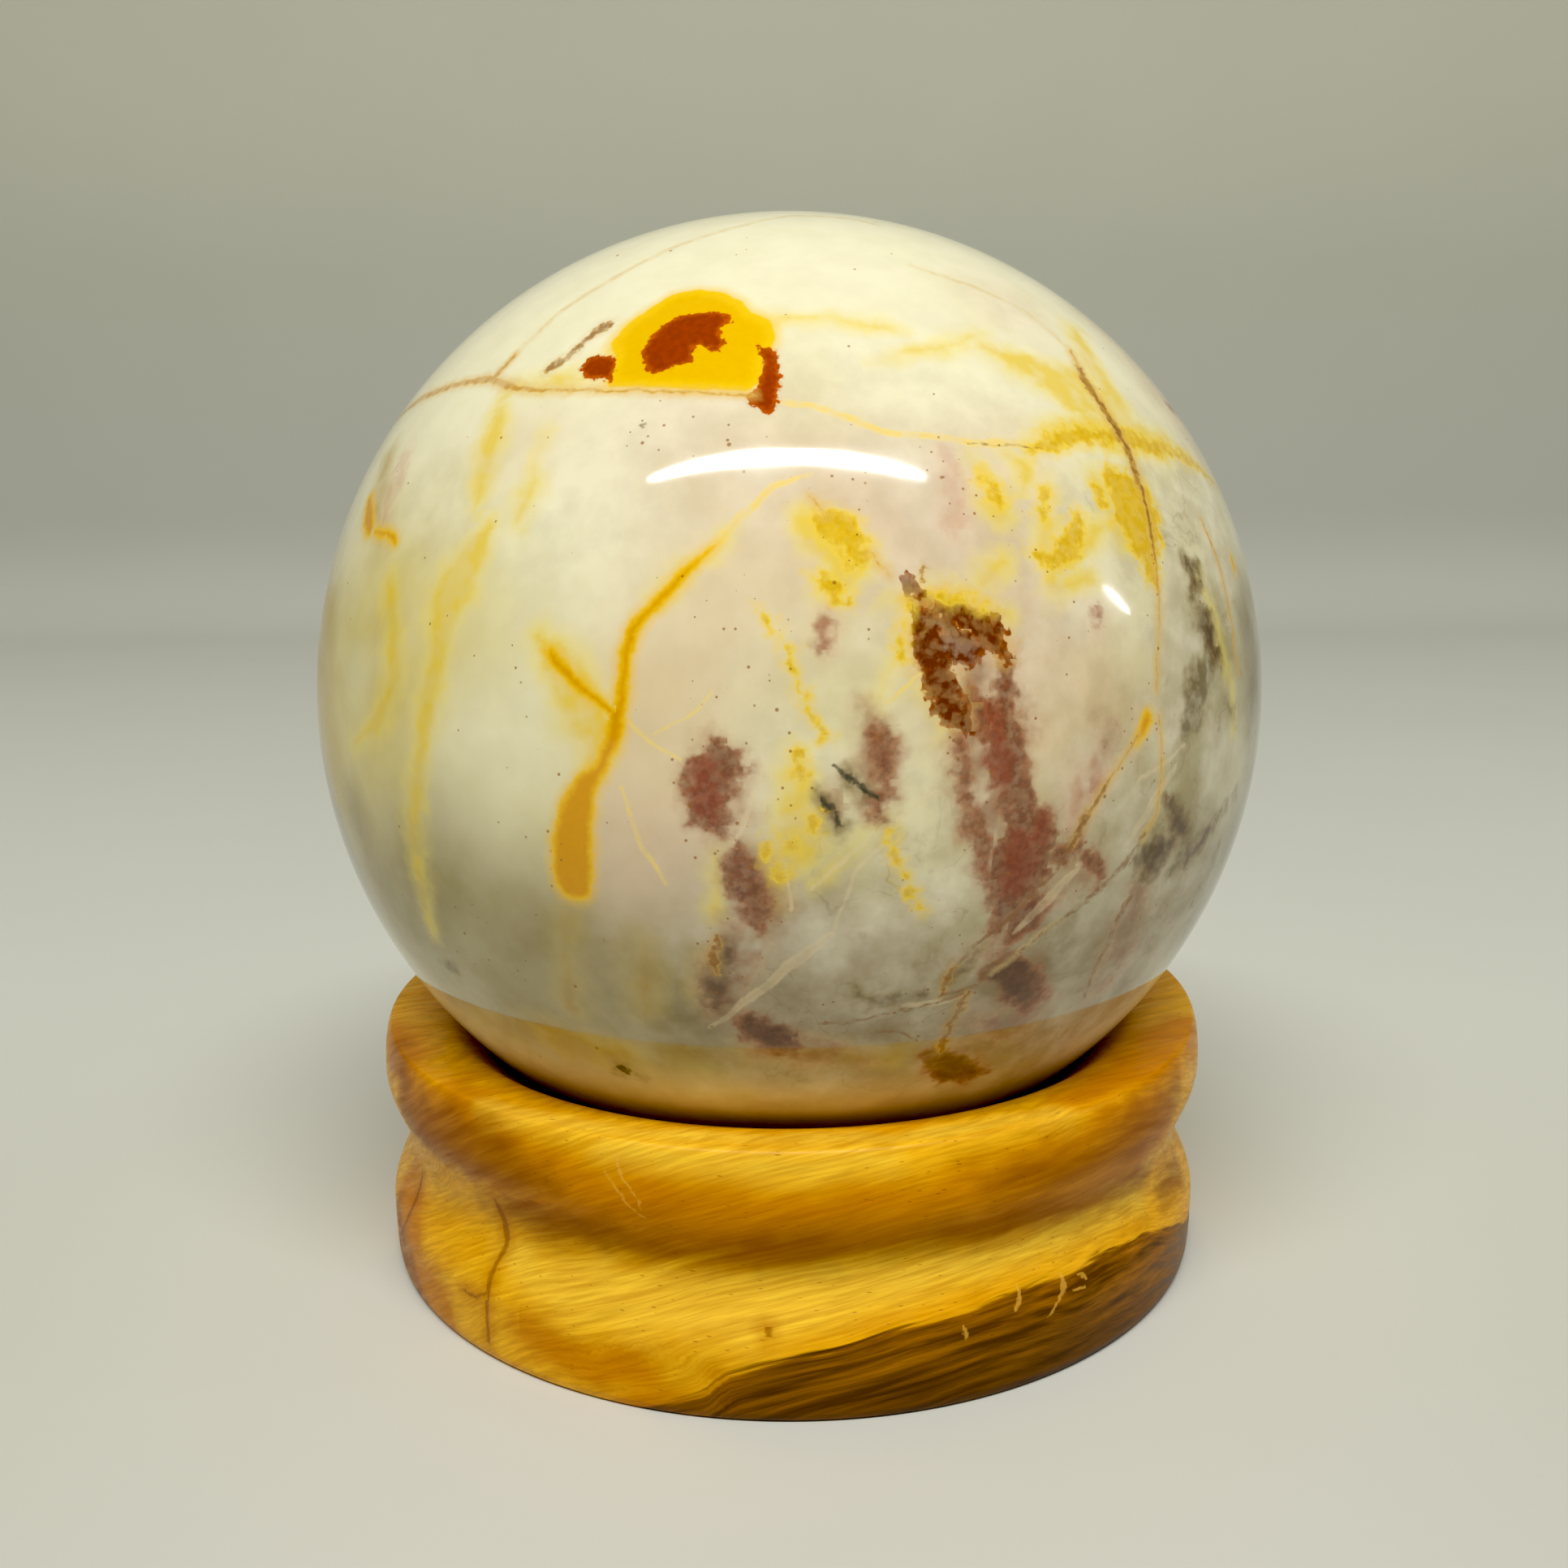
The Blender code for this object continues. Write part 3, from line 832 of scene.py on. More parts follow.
STONE_STROKES["clay"] = [
    [(1462, 690, 12), (1472, 706, 24), (1466, 728, 16)],
    [(1478, 748, 14), (1486, 776, 26), (1494, 806, 18)],
    [(1500, 812, 18), (1480, 838, 36), (1472, 878, 34), (1458, 904, 18)],
    [(1512, 860, 10), (1520, 880, 14)], [(1436, 984, 16), (1450, 1002, 36), (1460, 1030, 22)],
    [(1400, 1060, 18), (1420, 1052, 42), (1440, 1040, 20)],
    [(1522, 976, 8), (1505, 1000, 12), (1480, 1036, 18), (1458, 1056, 24), (1440, 1078, 14)],
    [(1502, 1042, 12), (1486, 1080, 13), (1469, 1112, 8)],
    [(1546, 910, 8), (1542, 945, 14), (1536, 985, 10)],
    [(1004, 970, 14), (1018, 992, 38), (1032, 1018, 28)],
    [(1040, 950, 20), (1058, 966, 34), (1070, 984, 22)], [(552, 1182, 8), (558, 1194, 16), (566, 1206, 8)],
    [(764, 1312, 12), (772, 1322, 20)], [(1170, 1205, 16), (1192, 1185, 20), (1212, 1168, 12)],
    [(1040, 1215, 14), (1090, 1235, 24), (1140, 1225, 12)],
]
STONE_STROKES["calcite"] = [
    [(874, 1268, 4), (905, 1246, 8), (930, 1226, 12), (965, 1196, 14), (1000, 1168, 12), (1026, 1148, 7)],
    [(1022, 1156, 5), (1040, 1110, 5), (1058, 1070, 5), (1090, 1040, 6)],
    [(1000, 1100, 5), (1030, 1068, 6), (1065, 1040, 5)],
    [(950, 925, 4), (935, 965, 6), (920, 1002, 7), (905, 1042, 5)],
    [(975, 1125, 4), (970, 1090, 5), (965, 1060, 3)], [(700, 985, 3), (708, 992, 3), (716, 1004, 2)],
    [(1400, 965, 3), (1435, 942, 4), (1462, 918, 3)], [(1155, 975, 3), (1130, 990, 4), (1100, 1012, 3)],
    [(1110, 1240, 3), (1150, 1236, 7), (1186, 1228, 3)], [(1450, 940, 4), (1420, 990, 8), (1390, 1040, 5)],
    [(1250, 1150, 5), (1300, 1100, 10), (1330, 1066, 5)],
]
STONE_STROKES["dark"] = [
    [(1030, 944, 5), (1048, 959, 8), (1066, 974, 8), (1084, 987, 4)],
    [(1008, 984, 5), (1020, 992, 9), (1030, 996, 5)], [(1030, 998, 4), (1034, 1016, 8)],
    [(766, 1316, 9), (772, 1320, 9)], [(793, 523, 9), (793, 525, 9)],
]
STONE_STROKES["hairline"] = [
    [(1004, 1262, 2), (1040, 1260, 4), (1080, 1252, 3), (1110, 1246, 4), (1150, 1236, 3), (1186, 1224, 4)],
    [(1060, 1275, 3), (1100, 1270, 3), (1130, 1282, 3)],
    [(1156, 1228, 5), (1180, 1221, 5), (1206, 1214, 5)],
    [(1206, 1208, 4), (1222, 1190, 6), (1250, 1178, 5)], [(1190, 546, 2), (1240, 548, 2), (1284, 553, 2)],
    [(1356, 503, 2), (1376, 532, 3), (1396, 566, 3), (1412, 620, 3), (1423, 690, 3)],
    [(1366, 962, 3), (1335, 1015, 5), (1320, 1040, 5), (1295, 1080, 5), (1250, 1125, 5), (1225, 1145, 5),
     (1196, 1170, 5), (1178, 1190, 4)], [(1270, 1162, 4), (1320, 1124, 4), (1372, 1080, 4)],
    [(1400, 1085, 3), (1390, 1110, 5), (1378, 1130, 6), (1364, 1165, 5), (1347, 1200, 4), (1335, 1232, 4)],
    [(1412, 1024, 4), (1392, 1056, 5), (1362, 1090, 5), (1330, 1116, 5), (1290, 1146, 4), (1258, 1172, 4)],
]
PATCH_OUTLINE = [
    (746, 477), (758, 440), (752, 424), (772, 400), (805, 378), (830, 362), (860, 357), (890, 360),
    (912, 370), (925, 385), (951, 396), (956, 420), (942, 440), (938, 470), (922, 482), (850, 480),
]
ISLAND_OUTLINES = [
    [(791, 432), (800, 418), (812, 405), (832, 391), (855, 386), (880, 384), (900, 389), (903, 397),
     (886, 404), (893, 422), (886, 434), (872, 431), (863, 424), (854, 428), (855, 445), (832, 452),
     (805, 463), (794, 455)],
    [(713, 455), (722, 444), (736, 437), (760, 440), (757, 455), (752, 471), (738, 466), (724, 468)],
    [(931, 421), (940, 428), (957, 432), (962, 465), (958, 494), (951, 513), (936, 504), (921, 500),
     (919, 490), (934, 476), (941, 450)],
]

STONE_STROKES["dust"] = [
    [(790, 520, 50), (900, 550, 60), (1000, 560, 50)],
    [(820, 650, 60), (870, 760, 90), (900, 840, 80), (950, 900, 60)],
    [(930, 740, 30), (960, 790, 34), (985, 850, 34), (1012, 910, 30)],
    [(1130, 560, 80), (1220, 600, 120), (1290, 660, 110), (1350, 700, 80), (1340, 800, 60)],
    [(1010, 560, 60), (1040, 640, 80), (1040, 720, 60), (1060, 780, 60)],
    [(1150, 740, 90), (1180, 800, 90), (1190, 870, 80), (1200, 950, 90), (1210, 1040, 80),
     (1230, 1120, 60)],
    [(1390, 900, 60), (1350, 980, 80), (1300, 1050, 60), (1250, 1120, 70), (1180, 1200, 50)],
    [(1426, 600, 24), (1426, 700, 26), (1427, 800, 24), (1430, 900, 26), (1430, 1000, 34),
     (1400, 1100, 40)],
    [(840, 930, 70), (880, 1000, 90), (910, 1100, 90), (890, 1180, 80), (880, 1240, 50)],
    [(1095, 1000, 30), (1110, 1060, 50), (1130, 1130, 70)],
    [(950, 900, 40), (980, 980, 60), (970, 1060, 60)],
    [(1000, 1230, 50), (1100, 1250, 60), (1180, 1240, 50)],
    [(620, 900, 20), (700, 1180, 60), (560, 1150, 60)], [(640, 800, 30), (650, 880, 30), (700, 960, 30)],
    [(1060, 960, 60), (1040, 1000, 50)],
]

# %% Lay the strokes


def both_sides(canvas, strokes):
    """Traces strokes on the near side and repeats them on the far side."""
    traced = [canvas.trace(stroke) for stroke in strokes]
    return traced + [(turned_over(path), reach) for path, reach in traced]


def outline_places(canvas, outline):
    return np.array([canvas.seen_at(x, y) for x, y in outline])


for kind, strokes in STONE_STROKES.items():
    ball_canvas.lay_strokes(kind, both_sides(ball_canvas, strokes))
patch = outline_places(ball_canvas, PATCH_OUTLINE)
islands = [outline_places(ball_canvas, outline) for outline in ISLAND_OUTLINES]
ball_canvas.lay_outlines("patch", [patch, turned_over(patch)])
ball_canvas.lay_outlines("islands", islands + [turned_over(island) for island in islands])
print(sum(len(strokes) for strokes in STONE_STROKES.values()), "strokes laid on each side of the stone")

# %% [markdown]
# ## The stone's material
#
# Painting goes from the ground up, one layer at a time, and every layer takes the last colour and covers a
# share of it. Stains let some ground show through, the sharp gold veins let none. The polish is a low
# roughness over a slightly wavy surface, since no hand-held polisher leaves a perfect mirror.

# %% Stone material
PLAIN_PAINT = dict(
    cover=1.0, wobble=0.2, wobble_size=2.0, ragged=0.1, ragged_size=0.4, softness=0.1, halo=0.0,
    halo_width=0.5, core_depth=0.6, grit=0.0, gaps=0.0, gap_size=1.2,
)
PAINTS = dict(
    # Painted reflection of the ring, with one ochre wash in the stone.
    ochre_and_ring_reflection=dict(rim=(204, 182, 112), core=(182, 146, 62), cover=0.75, wobble=0.5, wobble_size=4.0,
        ragged=0.4, ragged_size=1.6, softness=1.6, core_depth=2.2, gaps=0.3, gap_size=2.4),
    soft_yellow=dict(rim=(242, 222, 114), core=(236, 204, 62), cover=0.85, wobble=0.5, wobble_size=4.0,
        ragged=0.4, ragged_size=1.6, softness=1.2, core_depth=1.3, gaps=0.35, gap_size=2.4),
    faint_plum=dict(rim=(200, 166, 128), core=(156, 112, 80), cover=0.8, wobble=0.5, wobble_size=4.0,
        ragged=0.5, ragged_size=1.6, softness=1.0, core_depth=2.0, grit=0.25, gaps=0.6, gap_size=2.4),
    blush=dict(rim=(226, 186, 152), core=(210, 152, 122), cover=0.42, wobble=0.3, ragged=0.3,
        ragged_size=0.8, softness=1.1, gaps=0.4),
    clay=dict(rim=(168, 150, 102), core=(112, 94, 48), cover=0.8, wobble=0.5, ragged=0.6, ragged_size=1.6,
        softness=0.6, core_depth=1.0, grit=0.25, gaps=0.5),
    plum=dict(rim=(170, 114, 76), core=(130, 70, 36), cover=0.92, wobble=0.5, ragged=0.35, ragged_size=0.8,
        softness=0.3, halo=0.3, halo_width=1.0, core_depth=1.0, grit=0.45, gaps=0.25, gap_size=0.7),
    umber=dict(rim=(128, 94, 58), core=(78, 50, 24), cover=0.7, wobble=0.4, ragged=0.4, ragged_size=0.8,
        softness=0.5, core_depth=0.8, gaps=0.3),
    red=dict(rim=(158, 76, 44), core=(146, 58, 30), cover=0.6, ragged=0.4, ragged_size=0.8, softness=0.5,
        grit=0.35),
    band_ground=dict(rim=(232, 190, 106), core=(190, 128, 56), cover=0.85, wobble=0.3, ragged=0.45,
        ragged_size=0.8, softness=0.3, halo=0.5, halo_width=1.2, grit=0.4, gaps=0.3, gap_size=0.7),
    rust_band=dict(rim=(160, 84, 18), core=(112, 48, 8), wobble=0.4, wobble_size=1.2, ragged=0.45,
        ragged_size=0.8, softness=0.08, grit=0.3, gaps=0.3, gap_size=0.7),
    calcite=dict(rim=(234, 214, 172), core=(222, 196, 150), cover=0.55, ragged=0.06, softness=0.12,
        gaps=0.4),
    amber_hair=dict(rim=(246, 218, 120), core=(244, 206, 90), cover=0.8, wobble=0.15, ragged=0.06,
        gaps=0.5),
    tan_hair=dict(rim=(230, 204, 140), core=(214, 178, 106), cover=0.6, wobble=0.15, softness=0.3,
        gaps=0.5),
    gold=dict(rim=(244, 196, 34), core=(222, 156, 0), wobble=0.12, wobble_size=1.2, ragged=0.08,
        softness=0.18, halo=0.5, halo_width=0.8, grit=0.05),
    gold_crumbs=dict(rim=(246, 212, 74), core=(228, 184, 24), cover=0.95, wobble=0.3, wobble_size=1.2,
        ragged=0.5, ragged_size=0.8, softness=0.15, halo=0.45, halo_width=0.9, grit=0.16, gaps=0.25,
        gap_size=0.7),
    patch=dict(rim=(246, 202, 24), core=(238, 188, 6), wobble=0.0, ragged=0.08, ragged_size=0.8, halo=0.55,
        halo_width=0.9, core_depth=1.2, grit=0.05),
    islands=dict(rim=(196, 92, 4), core=(160, 60, 0), wobble=0.0, ragged=0.2, softness=0.05, halo=0.25,
        halo_width=0.2, core_depth=0.5, grit=0.3),
    amber_line=dict(rim=(226, 184, 88), core=(196, 142, 42), cover=0.8, wobble=0.15, wobble_size=1.2,
        ragged=0.08, softness=0.08, halo=0.45, halo_width=0.7, core_depth=0.18, gaps=0.45),
    amber_crumbs=dict(rim=(212, 170, 84), core=(156, 104, 34), cover=0.85, wobble_size=1.2, ragged=0.22,
        softness=0.08, halo=0.22, halo_width=0.6, core_depth=0.25, grit=0.15, gaps=0.4, gap_size=0.7),
    hairline=dict(rim=(146, 104, 52), core=(120, 80, 34), cover=0.7, wobble=0.15, wobble_size=1.2,
        ragged=0.06, softness=0.06, gaps=0.8, gap_size=0.7),
    dark=dict(rim=(92, 80, 40), core=(34, 36, 14), cover=0.95, wobble=0.1, wobble_size=1.2, ragged=0.12,
        softness=0.08, core_depth=0.2, gaps=0.2, gap_size=0.7),
)


def lay_paint(tree, point, grains, colour, kind, paint):
    """Covers a colour with one kind of stroke: its halo first, then the stroke from rim to core."""
    edges = ("wobble", "wobble_size", "ragged", "ragged_size", "softness", "halo_width", "core_depth")
    stroke = ragged_stroke(tree, point, kind, **{name: paint[name] for name in edges})
    rim, core = tint(*paint["rim"]), tint(*paint["core"])
    own = blend(tree, stroke["Core"], rim, core)
    if paint["grit"]:
        darker = tuple(channel * 0.45 for channel in core[:3]) + (1.0,)
        own = blend(tree, calc(tree, "MULTIPLY", grains, paint["grit"]), own, darker)
    if paint["halo"]:
        colour = blend(tree, calc(tree, "MULTIPLY", stroke["Halo"], paint["halo"]), colour, rim)
    cover = calc(tree, "MULTIPLY", stroke["Mask"], paint["cover"])
    if paint["gaps"]:
        holes = shared_gaps(tree, point, paint["gap_size"])
        cover = calc(tree, "MULTIPLY", cover, calc(tree, "MULTIPLY_ADD", holes, -paint["gaps"], 1.0))
    return blend(tree, cover, colour, own)


def cloud_over(tree, point, colour, cloudy):
    """Clouds the ground with white and with grey, more where the stone is marbled."""
    wide = use(tree, CLOUDS, point=point, size=6.0, detail=4.0, contrast=3.4)["Value"]
    white = calc(tree, "MULTIPLY_ADD", cloudy, 0.4, 0.15)
    colour = wash(tree, colour, wide, white, (248, 241, 216))
    offset = add(tree, "VectorMath", {0: point, 1: (50.0, 0.0, 0.0)}).outputs[0]
    veil = use(tree, CLOUDS, point=offset, size=3.0, detail=4.0, contrast=4.0)["Value"]
    grey = calc(tree, "MULTIPLY_ADD", cloudy, 0.36, 0.04)
    colour = wash(tree, colour, veil, grey, (160, 140, 98))
    threads = use(tree, THREADS, point=point, size=6.0, width=0.018, detail=4.0)["Mask"]
    seams = calc(tree, "MULTIPLY", threads, veil)
    seams = calc(tree, "MULTIPLY", seams, ease(tree, cloudy, CLOUDY, MARBLED))
    return wash(tree, colour, seams, 0.3, (128, 104, 66))


def make_stone():
    material, tree, shader, point = new_material("polished_marbled_stone")
    ground = add(tree, "Attribute", attribute_name="ground").outputs
    colour = cloud_over(tree, point, ground["Color"], ground["Alpha"])
    grains = use(tree, CLOUDS, point=point, size=0.5, detail=2.0, contrast=5.0)["Value"]
    for kind, paint in PAINTS.items():
        colour = lay_paint(tree, point, grains, colour, kind, PLAIN_PAINT | paint)
    dusty = ragged_stroke(tree, point, "dust", wobble=0.4, wobble_size=4.0, ragged=0.5, ragged_size=1.6,
                          softness=1.5)["Mask"]
    share = calc(tree, "MULTIPLY_ADD", dusty, 0.6, 0.03)
    for spacing, size in ((0.7, 0.09), (1.4, 0.14)):
        specks = use(tree, SPECKS, point=point, spacing=spacing, size=size, share=share)["Mask"]
        colour = wash(tree, colour, specks, 0.8, (150, 96, 20))
    tree.links.new(colour, shader.inputs["Base Color"])
    shader.inputs["IOR"].default_value = 1.55
    haze = use(tree, CLOUDS, point=point, size=6.0, detail=1.0, contrast=2.0)["Value"]
    tree.links.new(ease(tree, haze, 0.0, 1.0, 0.05, 0.09), shader.inputs["Roughness"])
    ripple = noise(tree, point, 5.0, detail=1.0)
    relief = add(tree, "Bump", {"Height": ripple, "Strength": 0.02, "Distance": 0.02 * MM})
    tree.links.new(relief.outputs["Normal"], shader.inputs["Normal"])
    return material


ball.data.materials.append(make_stone())
print("stone material:", len(ball.data.materials[0].node_tree.nodes), "nodes")

# %% [markdown]
# ## The wood
#
# The ring was turned from a plank whose layers lie nearly flat, so its grain runs across the front in long,
# nearly level lines that climb a little to the right. Below them the plank reaches into the dark heart of
# the tree, which shows as a brown wedge at the lower right. Over the grain, strokes paint light on the
# crown and the top of the lower bead, and shade in the cove and on the left side.

# %% Strokes on the wood
WOOD_STROKES = {}
WOOD_STROKES["crack"] = [
    [(521, 1448, 3), (516, 1470, 4), (507, 1492, 4), (496, 1518, 3), (492, 1545, 3)],
    [(612, 1480, 4), (622, 1505, 6), (624, 1532, 6), (610, 1560, 5), (601, 1590, 5), (601, 1625, 4),
     (602, 1655, 3)], [(572, 1590, 3), (586, 1598, 3), (600, 1594, 3)], [(944, 1638, 8), (946, 1646, 8)],
    [(880, 1690, 5), (884, 1694, 5)],
]
WOOD_STROKES["scratch"] = [
    [(758, 1418, 2), (762, 1440, 2), (776, 1466, 2), (792, 1492, 1)],
    [(744, 1440, 1), (770, 1480, 2), (800, 1506, 1)], [(1254, 1582, 4), (1256, 1598, 5), (1250, 1614, 3)],
    [(1308, 1572, 3), (1312, 1588, 5), (1302, 1606, 4), (1292, 1622, 2)],
    [(1322, 1590, 4), (1336, 1586, 5)], [(1186, 1634, 3), (1190, 1650, 4)],
    [(1328, 1566, 3), (1338, 1576, 4)],
]
WOOD_STROKES["knot"] = [
    [(640, 1740, 60), (740, 1730, 80), (830, 1724, 60)],
]
# Darker orange brown: partly the wood's own colour, partly painted shade on the crown's ends beside the
# ball, along the upper wall into the cove, and on the left side and the foot's lower edge, which face away
# from the lamp.
WOOD_STROKES["orange_and_shaded"] = [
    [(500, 1340, 50), (560, 1396, 70), (640, 1446, 80), (720, 1482, 80), (860, 1504, 80), (1000, 1512, 80),
     (1150, 1496, 80), (1300, 1458, 80), (1420, 1396, 70)],
    [(500, 1480, 50), (516, 1580, 60), (590, 1670, 60), (710, 1716, 50), (800, 1735, 44), (880, 1742, 24)],
    [(484, 1270, 44), (510, 1320, 44), (570, 1366, 30)],
    [(1320, 1356, 30), (1400, 1316, 44), (1454, 1262, 40)],
    [(640, 1640, 30), (720, 1680, 50), (800, 1700, 40)],
]
# Light gold, mostly painted light: along the crown and lip and on the top of the lower bead, which face up
# to the lamp. The patches on the upper wall are partly paler wood.
WOOD_STROKES["lit_and_pale"] = [
    [(620, 1545, 30), (680, 1580, 70), (780, 1600, 90), (900, 1610, 90), (1010, 1600, 70), (1150, 1572, 50),
     (1290, 1528, 36), (1400, 1478, 24)],
    [(740, 1416, 20), (860, 1430, 26), (980, 1434, 30), (1100, 1426, 20)],
    [(600, 1360, 16), (760, 1392, 20), (960, 1402, 24), (1150, 1396, 20), (1300, 1370, 16)],
]
# Dark brown, mostly painted shade: in the cove under the upper bead, where the wood faces down, and on the
# left side under the rim. Part of it is darker wood there.
WOOD_STROKES["shade_and_dark_wood"] = [
    [(500, 1372, 34), (560, 1410, 56), (620, 1440, 50), (680, 1462, 24)],
    [(600, 1480, 20), (680, 1508, 28), (780, 1530, 36), (900, 1542, 40), (1040, 1542, 40), (1180, 1522, 36),
     (1320, 1482, 30), (1410, 1446, 22)],
    [(1220, 1462, 20), (1310, 1440, 34), (1410, 1394, 36), (1448, 1350, 24)],
    [(1430, 1470, 16), (1450, 1440, 20)], [(488, 1300, 20), (500, 1340, 24)],
    [(480, 1490, 36), (498, 1556, 56), (528, 1616, 60), (590, 1672, 40)],
]
for kind, strokes in WOOD_STROKES.items():
    ring_canvas.lay_strokes(kind, [ring_canvas.trace(stroke) for stroke in strokes])
print(sum(len(strokes) for strokes in WOOD_STROKES.values()), "strokes laid on the wood")

# %% Wood material
LAYER_RISE = (-0.29, 0.456, 1.0)
HEART_EDGE_MM = -10.95
KNOT_LIFT_MM = 1.1
SOFT_EDGE = dict(wobble=0.5, wobble_size=6.0, ragged=0.6, ragged_size=3.0, softness=1.6)


def make_wood():
    material, tree, shader, point = new_material("lacquered_heartwood")
    height = add(tree, "VectorMath", {0: point, 1: LAYER_RISE}, operation="DOT_PRODUCT").outputs["Value"]
    knot = ragged_stroke(tree, point, "knot", wobble=0.3, ragged=0.2, softness=1.5)["Mask"]
    height = calc(tree, "MULTIPLY_ADD", knot, KNOT_LIFT_MM, calc(tree, "SUBTRACT", height, HEART_EDGE_MM))
    flat = add(tree, "VectorMath", {0: point, 1: (0.3, 0.6, 0.4)}, operation="MULTIPLY").outputs[0]
    height = calc(tree, "ADD", height, calc(tree, "MULTIPLY_ADD", noise(tree, flat, 7.0), 3.0, -1.5))
    across = add(tree, "SeparateXYZ", {0: point}).outputs
    long_x = calc(tree, "MULTIPLY", across["X"], 0.05)
    long_y = calc(tree, "MULTIPLY", across["Y"], 0.14)
    streak = add(tree, "CombineXYZ", {0: long_x, 1: long_y, 2: height}).outputs[0]
    broad = use(tree, CLOUDS, point=streak, size=2.6, detail=3.0, contrast=2.5)["Value"]
    lines = use(tree, CLOUDS, point=streak, size=0.8, detail=4.0, contrast=3.6)["Value"]
    fine = use(tree, CLOUDS, point=streak, size=0.25, detail=3.0, contrast=3.5)["Value"]
    sap = wash(tree, tint(253, 198, 42), broad, 0.6, (238, 163, 22))
    # Orange brown wood with painted shade.
    orange_and_shaded = ragged_stroke(tree, point, "orange_and_shaded", **SOFT_EDGE)["Mask"]
    sap = wash(tree, sap, orange_and_shaded, 0.7, (198, 114, 4))
    # Painted light on the crown and the lower bead's top, with some paler wood.
    lit_and_pale = ragged_stroke(tree, point, "lit_and_pale", **SOFT_EDGE)["Mask"]
    sap = wash(tree, sap, lit_and_pale, 0.75, (255, 214, 70))
    # Painted shade in the cove and on the left side, with some darker wood.
    shade_and_dark_wood = ragged_stroke(tree, point, "shade_and_dark_wood", **SOFT_EDGE)["Mask"]
    sap = wash(tree, sap, shade_and_dark_wood, calc(tree, "MULTIPLY_ADD", lines, 0.4, 0.4), (100, 52, 4))
    sap = wash(tree, sap, lines, 0.3, (184, 104, 4))
    sap = wash(tree, sap, fine, 0.35, (150, 80, 4))
    heart = blend(tree, lines, tint(92, 56, 10), tint(176, 114, 26))
    heart = blend(tree, ease(tree, height, -1.0, -8.0, 0.0, 0.6), heart, tint(70, 42, 8))
    heart = wash(tree, heart, fine, 0.4, (60, 36, 6))
    edge = calc(tree, "MULTIPLY_ADD", lines, 0.9, height)
    in_heart = ease(tree, edge, 0.85, 0.3)
    colour = blend(tree, in_heart, sap, heart)
    flattened = add(tree, "VectorMath", {0: point, 1: (0.25, 0.6, 1.0)}, operation="MULTIPLY").outputs[0]
    pore = use(tree, SPECKS, point=flattened, spacing=0.32, size=0.05, share=0.5)["Mask"]
    colour = wash(tree, colour, pore, 0.4, (110, 60, 4))
    crack = ragged_stroke(tree, point, "crack", wobble=0.1, wobble_size=1.0, ragged=0.08,
                          softness=0.15, halo_width=1.4)
    colour = wash(tree, colour, crack["Halo"], 0.4, (172, 96, 8))
    colour = wash(tree, colour, crack["Mask"], 0.6, (128, 68, 8))
    scratch = ragged_stroke(tree, point, "scratch", wobble=0.15, wobble_size=1.0, ragged=0.12,
                            softness=0.08)["Mask"]
    colour = wash(tree, colour, scratch, 0.5, (232, 176, 70))
    tree.links.new(colour, shader.inputs["Base Color"])
    shader.inputs["IOR"].default_value = 1.33
    shader.inputs["Specular IOR Level"].default_value = 0.25
    sheen = calc(tree, "MULTIPLY_ADD", lines, 0.12, 0.30)
    tree.links.new(calc(tree, "MULTIPLY_ADD", scratch, 0.2, sheen), shader.inputs["Roughness"])
    sunk = calc(tree, "MULTIPLY_ADD", crack["Mask"], -0.5, calc(tree, "MULTIPLY", fine, 0.12))
    sunk = calc(tree, "MULTIPLY_ADD", pore, -0.3, sunk)
    relief = add(tree, "Bump", {"Height": sunk, "Strength": 0.5, "Distance": 0.12 * MM})
    tree.links.new(relief.outputs["Normal"], shader.inputs["Normal"])
    return material


ring.data.materials.append(make_wood())
print("wood material:", len(ring.data.materials[0].node_tree.nodes), "nodes")

# %% [markdown]
# ## The studio
#
# A sheet of pale paper lies under the piece and curves up far behind it, so there is no hard line where
# floor meets wall. One long lamp hangs above and in front. Its mirror image is the bright arched bar on the
# stone, and a small lamp at the right gives the short slanted glint.

# %% Backdrop
PAPER_FRONT = -1.6
PAPER_BACK = 0.50
PAPER_BEND = 0.16
PAPER_HALF_WIDTH = 2.5
PAPER_HEIGHT = 1.8
BEND_STEPS = 24


